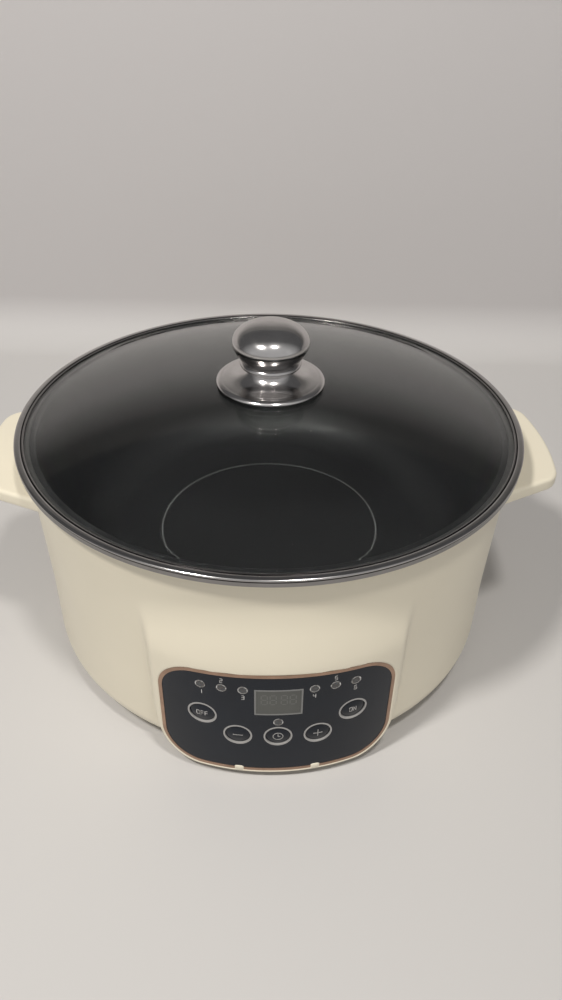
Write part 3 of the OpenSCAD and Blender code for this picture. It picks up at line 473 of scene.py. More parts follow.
def plain_metal(name, base, rough, metallic=1.0, grain=500.0):
    """Sheet or cast metal with a mottled surface."""
    f = Finish(name)
    f.set(Metallic=metallic)
    f.tint(f.noise(120.0, 5.0), base, 0.8, 1.08)
    f.gloss(f.noise(70.0, 4.0), rough - 0.08, rough + 0.12)
    f.bump(f.noise(grain, 3.0), 0.00005, 0.3)


def gloss_sheet(name, base, rough, shine=0.35):
    """Dark glossy sheet with faint wiping marks."""
    f = Finish(name)
    f.set(Specular_IOR_Level=shine)
    f.tint(f.noise(30.0, 4.0), base, 0.85, 1.2)
    f.gloss(f.noise(55.0, 6.0, 0.65, (1, 1, 3)), rough, rough + 0.14)


def clear_glass(name):
    """Clear tempered glass: a touch of grey, and a shadow that lets most light through."""
    f = Finish(name)
    f.set(Base_Color=(0.84, 0.86, 0.85, 1), Transmission_Weight=1.0, IOR=1.42)
    f.gloss(f.noise(14.0, 4.0), 0.0, 0.015)
    clear = f.add("BsdfTransparent", {"Color": (0.86, 0.88, 0.87, 1)}, "BSDF")
    f.mix_shaders(f.add("LightPath", {}, "Is Shadow Ray"), f.shader, clear)


def circuit_board(name):
    """Green solder mask over a pattern of tracks."""
    f = Finish(name)
    upright = f.mapped(turn=(math.radians(90), 0, 0))
    f.set(Base_Color=f.add("TexBrick", {
        "Vector": upright, "Scale": 90.0, "Mortar Size": 0.03, "Color1": (0.012, 0.085, 0.035, 1),
        "Color2": (0.016, 0.11, 0.045, 1), "Mortar": (0.05, 0.20, 0.08, 1)}, "Color"))
    f.gloss(f.noise(60.0), 0.28, 0.42)


def milky_lens(name, base):
    """Small translucent lens with a slightly darker core."""
    f = Finish(name)
    f.set(Subsurface_Weight=0.2, Subsurface_Scale=0.001)
    f.tint(f.noise(400.0), base, 0.75, 1.0)
    f.gloss(f.noise(200.0), 0.2, 0.32)


def unlit_segments(name):
    """The display's unlit segments: a shade paler than the lens."""
    f = Finish(name)
    tint = f.ramp(f.noise(300.0), (0.3, (0.115, 0.118, 0.110)), (0.7, (0.13, 0.133, 0.125)))
    f.set(Base_Color=tint, Roughness=0.4)


def finishes():
    """Each material's maker and what it is given: one for each slot of the record, then those of
    pieces that look different from their slot."""
    p, pan, lid = settings("panel"), settings("pan"), settings("lid")
    cream, steel = tuple(settings("shell").cream), tuple(lid.steel)
    # heights between which the knob's flank is painted darker, a painted reflection of a dark room
    painted_dark_band = (KNOB_LOW + 3.5 * MM, KNOB_LOW + lid.ridge_h + 0.5 * MM)
    return {
        "cream_plastic": (moulded_plastic, cream, 0.34),
        "base_plastic": (moulded_plastic, shade(cream, 0.94), 0.52, 500.0, 0.00008),
        "nonstick_black": (nonstick, tuple(pan.coating), pan.ring_r),
        "silicone": (moulded_plastic, (0.035, 0.034, 0.033), 0.6),
        "foot_rubber": (moulded_plastic, (0.022, 0.022, 0.023), 0.7, 400.0, 0.0001),
        "cast_aluminium": (plain_metal, (0.50, 0.51, 0.53), 0.45, 1.0, 260.0),
        "heater_steel": (plain_metal, (0.17, 0.16, 0.155), 0.5),
        "shield_steel": (plain_metal, (0.52, 0.53, 0.54), 0.3),
        "screw_steel": (plain_metal, (0.46, 0.46, 0.47), 0.3, 1.0, 900.0),
        "ceramic_body": (moulded_plastic, (0.68, 0.66, 0.6), 0.3),
        "black_plastic": (moulded_plastic, (0.018, 0.018, 0.02), 0.45, 600.0),
        "pin_brass": (plain_metal, (0.62, 0.45, 0.19), 0.25),
        "board_green": (circuit_board,),
        "panel_dark": (gloss_sheet, tuple(p.gloss), 0.12, 0.28),
        "copper_trim": (plain_metal, tuple(p.copper), 0.34, 0.7, 1400.0),
        "pale_grey": (moulded_plastic, tuple(p.print), 0.42, 1500.0),
        "display_lens": (gloss_sheet, (0.085, 0.087, 0.080), 0.3),
        "lamp_lens": (milky_lens, (0.07, 0.07, 0.072)),
        "lid_clear_glass": (clear_glass,),
        "polished_steel": (polished_steel, steel),
        "knob_steel": (polished_steel, steel, painted_dark_band),
        "rim_steel": (rim_steel, shade(steel, 0.74), RIM_R - 1.97 * lid.bead_w),
        "bezel_grey": (moulded_plastic, (0.20, 0.20, 0.195), 0.4, 1500.0),
        "unlit_segments": (unlit_segments,),
    }


# ---- shell ----

def face_centre():
    """y of the axis of the housing's curved face."""
    return settings("shell").face_r - RIM_R


def outline_distance(x, z):
    """Signed distance, negative inside, from the panel's outline: a box with two sizes of corner
    whose top edge is crowned."""
    p = settings("panel")
    middle = (PANEL_LOW + PANEL_HIGH) / 2
    upper = z > middle
    r = np.where(upper, p.upper_r, p.lower_r)
    bend = np.clip(np.abs(x) / (PANEL_HALF - p.upper_r), 0, 1) ** 2
    qx = np.abs(x) - PANEL_HALF + r
    qz = np.abs(z - middle) + p.crown * bend * upper - (PANEL_HIGH - PANEL_LOW) / 2 + r
    outside = np.hypot(np.maximum(qx, 0), np.maximum(qz, 0))
    return outside + np.minimum(np.maximum(qx, qz), 0) - r


def round_box_distance(x, z, half_x, half_z, r):
    """Signed distance from a rectangle with round corners."""
    qx, qz = np.abs(x) - half_x + r, np.abs(z) - half_z + r
    return np.hypot(np.maximum(qx, 0), np.maximum(qz, 0)) + np.minimum(np.maximum(qx, qz), 0) - r


def shell_angles():
    """Angles from the front, close together at the housing and at the inlet."""
    spans = ((-36, 36, 300), (36, 164, 60), (164, 196, 72), (196, 324, 60))
    return np.radians(np.concatenate([np.linspace(a, b, n, endpoint=False) for a, b, n in spans]))


def shell_levels(low, high):
    """Shares of the shell's height, close together where the panel's outline bends."""
    p = settings("panel")
    ends = [low, low + 2 * MM, PANEL_LOW + p.lower_r, PANEL_HIGH - p.upper_r - p.crown,
            PANEL_HIGH + 5 * MM, high]
    counts = [4, 36, 10, 44, 26]
    z = [np.linspace(a, b, n, endpoint=False) for a, b, n in zip(ends, ends[1:], counts)]
    return (np.concatenate(z + [[high]]) - low) / (high - low)


def shell_surface():
    """The shell is one profile carried round the pot. In front the profile is drawn out to that of
    the control housing, a circle round the face's own axis, by a weight that falls smoothly from
    1 to 0 just past the panel's outline. At the back it is drawn out to the inlet's flat pad and
    in to the socket. The profile goes on over the top edge and down inside, a wall's thickness
    away, so the surface is closed."""
    s = settings("shell")
    low, base = SHELL_LOW, s.base_round
    flat, bend = 4, 14
    edge, lip = 2.2 * MM, 0.8 * MM
    lip_z = SHELL_TOP - lip
    a = np.radians(np.linspace(-90, 0, bend))
    share = shell_levels(low + edge, lip_z)[1:]
    foot_r = s.body_r - base
    up = low + base + (lip_z - low - base) * share
    widen = np.clip((up - s.flare_z) / (SHELL_TOP - s.flare_z), 0, 1)
    widen = widen + 0.12 * (widen ** 2 - widen)
    top = arc(s.top_r - lip, lip_z, lip, 12, 90, 5)
    body_r = np.concatenate([np.linspace(foot_r - s.wall, foot_r, flat, endpoint=False),
                             foot_r + base * np.cos(a),
                             s.body_r + (s.top_r - s.body_r) * widen, top[:, 0]])
    body_z = np.concatenate([np.full(flat, low), low + base + base * np.sin(a), up, top[:, 1]])

    theta = shell_angles()[:, None]
    sin_t, cos_t = np.sin(theta), np.cos(theta)
    br, bz = body_r[None, :], np.broadcast_to(body_z[None, :], (len(theta), len(body_z)))

    # the housing's own profile: flat underside, small rounding, then upright and sloping
    underside, slope_round, slope_soft = 24 * MM, 4 * MM, 0.06
    house_z = np.concatenate([np.full(flat, low), low + edge + edge * np.sin(a),
                              low + edge + (lip_z - low - edge) * share, top[:, 1]])
    drop = np.concatenate([np.linspace(1, 0, flat, endpoint=False) * underside + edge,
                           edge - edge * np.cos(a), np.zeros(len(share) + len(top))])
    slope_z = PANEL_HIGH + s.slope_gap
    lean = s.slope_in * np.maximum(house_z - slope_z, 0) / s.slope_h
    soft = s.slope_in * np.exp(-np.abs(house_z - slope_z) / slope_round) * slope_soft
    rho = (s.face_r - lean - soft)[None, :]
    cy = -face_centre()
    along = cos_t * cy
    house_r = along + np.sqrt(np.maximum(rho ** 2 - cy ** 2 + along ** 2, 1e-9)) - drop[None, :]
    hz = np.broadcast_to(house_z[None, :], bz.shape)
    hx = house_r * sin_t

    # the housing's weight, narrow below the panel and wide beside it, and the panel's recess
    narrow, past_edge, blend_h, soft_join = 1.8 * MM, 1.4 * MM, 14 * MM, 2.5 * MM
    inside = outline_distance(hx, hz)
    past = np.where(hz > PANEL_HIGH - 24 * MM, np.abs(hx) - PANEL_HALF, inside)
    width = narrow + (s.side_w - narrow) * smooth_step((hz - 16 * MM) / (24 * MM))
    weight = (1 - smooth_step((past - past_edge) / width)) * (cos_t > 0.3)
    seat, hollow = 0.9 * MM, 2.2 * MM
    recess = seat * smooth_step((seat / 2 - inside) / seat)
    recess = (recess + hollow * smooth_step((-inside - 3.5 * MM) / (1.5 * MM))) * weight
    merged = soft_max(house_r, np.broadcast_to(br, house_r.shape), soft_join)
    merged = np.where(hz < low + base, house_r, merged)
    blend = smooth_step((hz - low - base) / blend_h)
    merged = merged * blend + house_r * (1 - blend)
    plain_r = br + (merged - br) * weight
    z = bz + (hz - bz) * weight

    # the inlet's flat pad at the back, and the socket in it
    pad_x, pad_z = plain_r * sin_t, z - INLET_Z
    behind = cos_t < -0.9
    pad = round_box_distance(pad_x, pad_z, 29 * MM, 18 * MM, 6 * MM)
    pad_w = (1 - smooth_step((pad + 0.6 * MM) / (1.6 * MM))) * behind
    flat_r = INLET_Y / np.maximum(-cos_t, 0.2)
    plain_r = plain_r + (flat_r - plain_r) * pad_w
    socket = round_box_distance(pad_x, pad_z, 17 * MM, 12.5 * MM, 3 * MM)
    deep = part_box("power_inlet")[1][1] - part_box("power_inlet")[0][1] + 1 * MM
    sunk = deep * smooth_step(-socket / (0.8 * MM)) * behind

    # inner wall: a few of the same levels, moved in by the wall's thickness
    first, last = flat + bend, len(body_z)
    levels = {last - 6, last - 16, last - 30, first + 90, first + 50, first + 44, first + 20,
              first + 2}
    for rise in (15 * MM, 11 * MM, -11 * MM, -15 * MM):
        levels.add(int(np.argmin(np.abs(body_z - INLET_Z - rise))))
    pick = np.array(sorted(levels, reverse=True))
    corner = slice(flat + 7, flat + 8)
    thick = s.wall + 1.6 * MM * weight[:, pick] + sunk[:, pick]
    r = np.concatenate([plain_r - recess - sunk, plain_r[:, pick] - thick,
                        plain_r[:, corner] - thick[:, -1:], plain_r[:, :1] + 0.5 * MM], axis=1)
    z = np.concatenate([z, z[:, pick], z[:, corner] + 2 * s.wall, z[:, :1] + s.wall], axis=1)
    return patch(columns(r * sin_t, -r * cos_t, z), True, True)


def ear_outline():
    """Plan of a handle from root to root: a straight flank, a round corner, an arc round the pot,
    and the same again mirrored."""
    s = settings("shell")
    r, tip = s.ear_corner, s.ear_tip
    cx = math.sqrt((EAR_REACH - r) ** 2 - tip ** 2)
    root = np.array([math.sqrt(s.top_r ** 2 - s.ear_root ** 2) - 3 * MM, s.ear_root + 1.6 * MM])
    d = root - np.array([cx, tip])
    start = math.atan2(d[1], d[0]) - math.acos(r / np.hypot(*d))
    end = math.atan2(tip, cx)
    corner = arc(cx, tip, r, math.degrees(start), math.degrees(end), 28)
    tip_arc = arc(0, 0, EAR_REACH, math.degrees(end), -math.degrees(end), 48)[1:-1]
    half = np.vstack([np.linspace(root, corner[0], 12)[:-1], corner])
    return np.vstack([half, tip_arc, (half * [1, -1])[::-1]])


def ear_surface(side):
    """A handle: its plan's outline drawn inwards along its normals by a moulded edge profile, with
    a finger recess below; both faces end on a circle inside the shell's wall."""
    s = settings("shell")
    plan = ear_outline()
    tangent = np.gradient(plan, axis=0)
    tangent /= np.linalg.norm(tangent, axis=1)[:, None]
    normal = columns(tangent[:, 1], -tangent[:, 0])
    edge = 2.2 * MM  # rounding of the outer edges
    rail, hollow = 3.2 * MM, 5.0 * MM  # width of the edge round the finger recess, and its depth
    taper = 20 * MM  # run over which the inset grows from each root
    join, join_w = 12 * MM, 18 * MM  # insets over which a face turns into the circle
    top, low = s.ear_top, s.ear_top - s.ear_t
    roof = low + hollow
    sin_e = edge * np.sin(np.radians(np.linspace(0, 90, 8)))
    cos_e = edge * np.cos(np.radians(np.linspace(0, 90, 8)))
    recess_in = np.array([30, 12, 6.2, 4.6, 3.9, 3.4, 3.2, 2.9, 2.2]) * MM
    recess_z = [roof, roof, roof, roof, roof - 0.3 * MM, roof - 1.2 * MM, low + 0.5 * MM, low, low]
    face_in = np.array([3.2, 5, 9, 14, 30]) * MM
    face_z = top - np.array([0, 0.05, 0.2, 0.3, 0.3]) * MM
    inset = np.concatenate([recess_in, edge - sin_e[1:], edge - cos_e, face_in])
    height = np.concatenate([recess_z, low + edge - cos_e[1:], top - edge + sin_e, face_z])
    root_r = s.top_r - 1.9 * MM
    root_y = plan[:, 1] * 0.985
    rootline = columns(np.sqrt(root_r ** 2 - root_y ** 2), root_y)
    gone = np.concatenate([[0], np.cumsum(np.linalg.norm(np.diff(plan, axis=0), axis=1))])
    room = np.clip(np.minimum(gone, gone[-1] - gone) / taper, 0.02, 1)[:, None]
    drawn = inset[None, :] - np.maximum(inset - rail, 0)[None, :] * (1 - room)
    inner = plan[:, None, :] + normal[:, None, :] * drawn[..., None]
    share = smooth_step((inset - join) / join_w)[None, :, None]
    keep = np.maximum(inner[..., 0], np.sqrt(np.maximum(root_r ** 2 - inner[..., 1] ** 2, 0)))
    inner = columns(keep, inner[..., 1]) * (1 - share) + rootline[:, None, :] * share
    points = columns(inner[..., 0] * side, inner[..., 1] * side, height)
    first = np.broadcast_to(points[:1].mean(axis=1, keepdims=True), points[:1].shape)
    last = np.broadcast_to(points[-1:].mean(axis=1, keepdims=True), points[-1:].shape)
    return patch(np.concatenate([first, points, last]), False, True)


def fillet_strip(side, upper):
    """A small concave strip along the corner between handle and shell: a quarter round carried
    along the shell's circle, shrinking to nothing at both ends."""
    s = settings("shell")
    widest, behind, sunk = 2.4 * MM, 0.6 * MM, 0.02 * MM
    half = math.asin(s.ear_root / s.top_r) * 0.98
    t = np.linspace(-half, half, 80)[:, None]
    size = widest * np.sqrt(np.clip(1 - (t / half) ** 4, 0, 1)) + 1e-5
    wall_r = s.body_r + (s.top_r - s.body_r) * (s.ear_top - s.flare_z) / (SHELL_TOP - s.flare_z)
    a = np.radians(np.linspace(180, 270, 8))[None, :]
    out = np.concatenate([size + size * np.cos(a), -behind + 0 * t], axis=1)
    rise = np.concatenate([size + size * np.sin(a), -behind + 0 * t], axis=1)
    r = wall_r - 0.1 * MM + out
    z = s.ear_top - sunk + rise if upper else s.ear_top - s.ear_t + sunk - rise
    return patch(columns(r * np.cos(t) * side, r * np.sin(t) * side, z), False, True)


class HOTPOT_OT_shell(bpy.types.Operator):
    """Makes the moulded shell with its control housing"""
    bl_idname = "hotpot.shell"
    bl_label = "Shell"

    def execute(self, context):
        ob = mesh_from("moulded_shell", *shell_surface(), math.radians(50))
        finish_piece(ob, "pot", "cream_plastic", "outer_shell")
        return {"FINISHED"}


class HOTPOT_OT_ears(bpy.types.Operator):
    """Makes the two ear handles with their fillets"""
    bl_idname = "hotpot.ears"
    bl_label = "Ear handles"

    def execute(self, context):
        for side, word in ((1, "right"), (-1, "left")):
            ob = mesh_from(word + "_ear", *ear_surface(side), math.radians(55))
            finish_piece(ob, "pot", "cream_plastic")
            for upper, level in ((True, "upper"), (False, "lower")):
                strip = mesh_from("%s_ear_%s_fillet" % (word, level), *fillet_strip(side, upper))
                finish_piece(strip, "pot", "cream_plastic")
        return {"FINISHED"}


# ---- pan ----

def pan_profile():
    """Closed profile of the pan: raised ring, floor, curve, wall, rolled brim and back down."""
    s = settings("pan")
    floor = PAN_LOW + s.sheet
    cz = floor + s.corner_r
    brim_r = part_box("inner_pan")[1][0]
    ring = s.ring_r + np.array([-1.6, -1.1, -0.6, 0.0, 0.6, 1.1, 1.6]) * MM
    swell = np.array([0.0, 0.06, 0.3, 0.4, 0.3, 0.06, 0.0]) * MM
    d = math.hypot(s.mouth_r - s.floor_r, BRIM_TOP - cz)
    top_angle = math.degrees(math.atan2(BRIM_TOP - cz, s.mouth_r - s.floor_r)
                             - math.acos(s.corner_r / d))
    inside = arc(s.floor_r, cz, s.corner_r, -90, top_angle, 24)
    outside = arc(s.floor_r, cz, s.corner_r + s.sheet, top_angle, -90, 24)
    bend, curl = 1.2 * MM, 0.8 * MM
    mouth = arc(s.mouth_r + bend, BRIM_TOP - bend, bend, 170, 90, 6)
    roll = arc(brim_r - curl, BRIM_TOP - curl, curl, 90, -90, 8)
    outer_r = s.mouth_r + s.sheet
    under = line(outer_r, BRIM_LOW, outer_r - 0.1 * MM, BRIM_LOW - 1 * MM)
    return np.vstack([line(0, floor, s.ring_r - 2 * MM, floor, 6),
                      columns(ring, floor + swell),
                      line(s.ring_r + 2 * MM, floor, s.floor_r - 1 * MM, floor, 3), inside, mouth,
                      roll, under, outside, line(s.floor_r - 1 * MM, PAN_LOW, 0, PAN_LOW, 4)])


class HOTPOT_OT_pan(bpy.types.Operator):
    """Makes the non-stick pan"""
    bl_idname = "hotpot.pan"
    bl_label = "Pan"

    def execute(self, context):
        ob = revolved("pan_surface", pan_profile(), closed=False)
        finish_piece(ob, "pot", "nonstick_black", "inner_pan")
        return {"FINISHED"}


# ---- lid ----

def glass_profile():
    """Closed profile of the glass: a ball's cap that runs into a flat edge, at even thickness."""
    s = settings("lid")
    edge_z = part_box("lid_glass")[0][2]
    top_edge = edge_z + s.glass_t
    rise = DOME_TOP - top_edge
    flat_in = s.glass_r - s.flat_w
    ball = (flat_in ** 2 + rise ** 2) / (2 * rise)
    r = np.concatenate([np.linspace(s.hole_r, flat_in + 3 * MM, 60),
                        np.linspace(flat_in + 4 * MM, s.glass_r - 1 * MM, 4)])
    dome = np.sqrt(ball ** 2 - r ** 2) - ball + rise
    top = soft_max(dome, np.full_like(dome, -s.sunk), 1.2 * MM)
    slope = np.gradient(top, r)
    lean = np.sqrt(1 + slope ** 2)
    low_r = r + s.glass_t * slope / lean
    low_z = np.maximum(top - s.glass_t / lean, -s.glass_t)
    keep = low_r > s.hole_r
    half, edge_in = (s.glass_t - s.sunk) / 2, 1.2 * MM
    outer = oval(s.glass_r - edge_in, edge_z + half, 0.75 * half, half, 80, -80, 8)
    below = columns(low_r[keep], top_edge + low_z[keep])[::-1]
    return np.vstack([columns(r, top_edge + top), outer, below])


def rim_profile():
    """Closed profile of the steel rim: an inner lip on the glass, a groove, the bead along the
    outer edge, the band below it, the rolled foot and the channel that holds the glass."""
    s = settings("lid")
    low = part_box("lid_rim")[0][2]
    roll, curl = 0.45 * MM, 0.3 * MM  # roundings of the foot outside and inside
    sheet = 0.6 * MM
    band = RIM_R - 0.35 * MM
    groove = RIM_TOP - 0.75 * s.bead_h
    seat = groove - 0.12 * MM
    bead_x = RIM_R - s.bead_w
    a = np.radians(np.linspace(165.5, 0, 30))
    bead = columns(bead_x + s.bead_w * np.sign(np.cos(a)) * np.abs(np.cos(a)) ** 0.7,
                   RIM_TOP - s.bead_h * (1 - np.sin(a) ** 0.8))
    lip_x = bead[0, 0] - s.lip_w
    lip = oval(lip_x, groove, s.lip_w, 0.4 * MM, 180, 8, 12)
    foot = arc(band - roll, low + roll, roll, 0, -90, 7)
    in_foot = band - s.foot_w
    channel = band - 0.95 * MM
    return np.vstack([lip, bead, line(band, RIM_TOP - 1.9 * MM, band, low + 1.2 * MM, 4), foot,
                      line(band - 3 * MM, low, in_foot + curl, low),
                      arc(in_foot + curl, low + curl, curl, -100, -260, 6),
                      line(in_foot + 2 * MM, low + sheet, channel, low + sheet),
                      line(channel, seat, lip_x - s.lip_w + 0.1 * MM, seat, 3)])


def knob_profile():
    """Closed profile of the knob's head: flat foot, a bead, a groove, a flank that swells out and
    a flattened dome with a tighter edge, a superellipse."""
    s = settings("lid")
    wide = KNOB_LOW + s.ridge_h
    bead_w, bead_h = 3.2 * MM, 2.3 * MM
    bead = oval(s.ridge_r - bead_w, KNOB_LOW + bead_h, bead_w, bead_h, -90, 48, 18)
    start_r, start_z = s.ridge_r - 0.9 * MM, KNOB_LOW + 2 * bead_h
    t = np.linspace(0.0, 1.0, 24)
    flank = columns(start_r + (KNOB_R - start_r) * (0.55 * t + 0.45 * np.sin(t * np.pi / 2)),
                    start_z + (wide - start_z) * t)
    a = np.linspace(0.0, np.pi / 2, 60)[1:]
    dome = columns(KNOB_R * np.cos(a) ** 0.84, wide + (KNOB_TOP - wide) * np.sin(a) ** 0.94)
    dome[-1, 0] = 0.0
    return np.vstack([line(0, KNOB_LOW, s.ridge_r - 4 * MM, KNOB_LOW, 6), bead, flank, dome])


def skirt_profile():
    """Closed profile of the flared skirt: neck, concave flare, apron with a round edge, inside."""
    s = settings("lid")
    sheet, edge, roll, roll_h = 1.2 * MM, 0.7 * MM, 3.4 * MM, 1.9 * MM
    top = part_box("knob_skirt")[1][2]
    apron = SKIRT_LOW + edge + roll_h
    reach = SKIRT_R - s.neck_r - roll
    t = np.linspace(0.0, 1.0, 40)
    r = s.neck_r + reach * t
    z = apron + (top - apron) * (1 - t) ** 3.2 / (1 + 0.25 * t)
    z = z + 0.5 * MM * (1 - t ** 5) * smooth_step(t / 0.4)
    slope = np.gradient(z, r)
    lean = np.sqrt(1 + slope ** 2)
    back_r, back_z = r + sheet * slope / lean, z - sheet / lean
    keep = (back_r > s.hole_r) & (back_z > SKIRT_LOW)
    outer = columns(r, z)
    roll_arc = oval(SKIRT_R - roll, SKIRT_LOW + edge, roll, roll_h, 82, 4, 14)
    edge_arc = arc(SKIRT_R - edge, SKIRT_LOW + edge, edge, 0, -90, 6)
    inner = columns(back_r[keep], back_z[keep])[::-1]
    hole = s.hole_r - 1.2 * MM
    roof = line(min(inner[-1, 0], s.neck_r - sheet), top - sheet, hole, top - sheet, 3)
    neck_top = line(hole, top, s.neck_r - 0.5 * MM, top, 3)
    return np.vstack([neck_top, outer, roll_arc, edge_arc, inner, roof])


class HOTPOT_OT_lid(bpy.types.Operator):
    """Makes the glass, its steel rim, the knob and the knob's skirt"""
    bl_idname = "hotpot.lid"
    bl_label = "Lid"

    def execute(self, context):
        glass = revolved("lid_glass_surface", glass_profile())
        finish_piece(glass, "lid", "lid_clear_glass", "lid_glass")
        rim = revolved("lid_rim_surface", rim_profile(), 384, sharp=math.radians(60))
        finish_piece(rim, "lid", "polished_steel", "lid_rim", look="rim_steel")
        knob = revolved("knob_head_surface", knob_profile(), 160, False)
        finish_piece(knob, "lid", "polished_steel", "knob_head", look="knob_steel")
        skirt = revolved("knob_skirt_surface", skirt_profile(), 160)
        finish_piece(skirt, "lid", "polished_steel", "knob_skirt")
        return {"FINISHED"}


# ---- control panel ----

BUTTON_NODES = ("cancel", "minus", "reserve", "plus", "function")
LAMP_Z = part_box("indicator_lenses")[1][2] - 2.6 * MM
LAMP_X = [side * (18.6 + 11 * i) * MM for side in (-1, 1) for i in range(3)]
MIDDLE_LAMP_Z = 48.8 * MM
FACE_IN = 0.4 * MM  # how far the panel's face lies inside the housing's


def panel_y(x, z, lift):
    """y of the panel's face at x, lifted off it: the front of a circle round the face's axis."""
    r = settings("shell").face_r - FACE_IN + lift
    return face_centre() - np.sqrt(r * r - x * x)


def flat_strokes(strokes, width, short=0.0):
    """Quads of straight strokes with square ends: each runs from one point to another in x and z,
    less a short piece at both ends."""
    quads = []
    for x0, z0, x1, z1 in strokes:
        d = np.array([x1 - x0, z1 - z0])
        d = d / np.hypot(*d)
        n = np.array([-d[1], d[0]]) * width / 2
        a, b = np.array([x0, z0]) + d * short, np.array([x1, z1]) - d * short
        quads.append([a + n, a - n, b - n, b + n])
    return np.array(quads)


def printed(name, quads, lift=0.12 * MM, sink=0.3 * MM, surface=panel_y, body="pot",
            slot_name="pale_grey", look=None):
    """Thin printed marks: each flat quad of x and z becomes a closed slab on a curved face."""
    x, z = quads.reshape(-1, 2).T
    n = len(x)
    points = np.vstack([columns(x, surface(x, z, lift), z), columns(x, surface(x, z, -sink), z)])
    i = np.arange(0, n, 4)
    faces = [np.stack([i, i + 1, i + 2, i + 3], -1), np.stack([i + 3, i + 2, i + 1, i], -1) + n]
    for k in range(4):
        j = (k + 1) % 4
        faces.append(np.stack([i + k, i + k + n, i + j + n, i + j], -1))
    finish_piece(mesh_from(name, points, np.vstack(faces)), body, slot_name, look=look)


# strokes of plain figures in a box 1 wide and 2 high, from the lower left
SEGMENTS = {"a": (0, 2, 1, 2), "b": (1, 2, 1, 1), "c": (1, 1, 1, 0), "d": (0, 0, 1, 0),
            "e": (0, 0, 0, 1), "f": (0, 1, 0, 2), "g": (0, 1, 1, 1)}
FIGURES = {"0": "abcdef", "1": "bc", "2": "abged", "3": "abgcd", "4": "fgbc", "5": "afgcd",
           "6": "afgedc", "8": "abcdefg", "F": "aefg"}


def figure_strokes(text, x, z, height):
    """Strokes of a short text of plain figures, centred on a point."""
    w = height * 0.45
    pitch = height * 0.72
    start = x - pitch * (len(text) - 1) / 2 - w / 2
    strokes = []
    for k, sign in enumerate(text):
        left = start + k * pitch
        if sign == "N":
            parts = [(0, 0, 0, 2), (0, 2, 1, 0), (1, 0, 1, 2)]
        else:
            parts = [SEGMENTS[c] for c in FIGURES[sign]]
        for x0, z0, x1, z1 in parts:
            strokes.append((left + x0 * w, z + (z0 / 2 - 0.5) * height,
                            left + x1 * w, z + (z1 / 2 - 0.5) * height))
    return strokes


def button_ball(node):
    """Centre and radius of the ball that a button's dome is part of, square to the panel, and the
    button's place in x."""
    p = settings("panel")
    low, high = (np.array(v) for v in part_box(node))
    face = settings("shell").face_r - FACE_IN
    turn = math.asin((low[0] + high[0]) / 2 / face)
    back = face + 0.2 * MM - p.ball
    centre = (back * math.sin(turn), face_centre() - back * math.cos(turn), (low[2] + high[2]) / 2)
    return np.array(centre), p.ball, face * math.sin(turn)


def button_face(node):
    """Place of a button and the front of its dome as a function of x, z and lift."""
    centre, ball, cx = button_ball(node)

    def surface(x, z, lift):
        r = ball + lift
        return centre[1] - np.sqrt(r * r - (x - centre[0]) ** 2 - (z - centre[2]) ** 2)
    return cx, centre[2], surface


def ring_quads(cx, cz, r, width):
    """Quads of a flat ring round a point of the panel."""
    inner = arc(cx, cz, r - width / 2, 0, 360, 33)
    outer = arc(cx, cz, r + width / 2, 0, 360, 33)
    return np.stack([inner[:-1], outer[:-1], outer[1:], inner[1:]], axis=1)


def catch_surface(cx):
    """A catch's tongue: a superellipse in x and z, drawn inwards while it rises to a soft crown,
    and closed by the same outline behind."""
    half_w, half_h, rise, back = 2.7 * MM, 2.1 * MM, 0.8 * MM, 1.2 * MM
    a = np.linspace(0, 2 * np.pi, 40, endpoint=False)
    c, n = np.cos(a), np.sin(a)
    u = np.sign(c) * np.abs(c) ** 0.6 * half_w
    w = np.sign(n) * np.abs(n) ** 0.6 * half_h
    v = np.sin(np.linspace(0, np.pi / 2, 12))[None, :]
    x = np.concatenate([0 * u[:, None], u[:, None], u[:, None] * v[:, ::-1]], axis=1) + cx
    z = np.concatenate([0 * w[:, None], w[:, None], w[:, None] * v[:, ::-1]], axis=1)
    z = z + PANEL_LOW + 1.0 * MM
    lift = np.concatenate([[-back, -back], rise * np.sqrt(1 - v[0, ::-1] ** 2) - 0.1 * MM])
    return patch(columns(x, panel_y(x, z, lift), z), True, False)


def sign_strokes(kind, cx, cz, h):
    """Strokes of the plain sign on a button."""
    if kind == "minus":
        return [(cx - h * 0.75, cz, cx + h * 0.75, cz)]
    if kind == "plus":
        return [(cx - h * 0.7, cz, cx + h * 0.7, cz), (cx, cz - h * 0.7, cx, cz + h * 0.7)]
    if kind == "cancel":
        return figure_strokes("0FF", cx, cz, h * 0.85)
    if kind == "function":
        return figure_strokes("0N", cx, cz, h * 0.85)
    a = np.linspace(0, 2 * np.pi, 25)
    x, z = cx + h * 0.75 * np.cos(a), cz + h * 0.75 * np.sin(a)
    dial = [(x[i], z[i], x[i + 1], z[i + 1]) for i in range(24)]
    return dial + [(cx, cz, cx, cz + h * 0.5), (cx, cz, cx + h * 0.36, cz)]


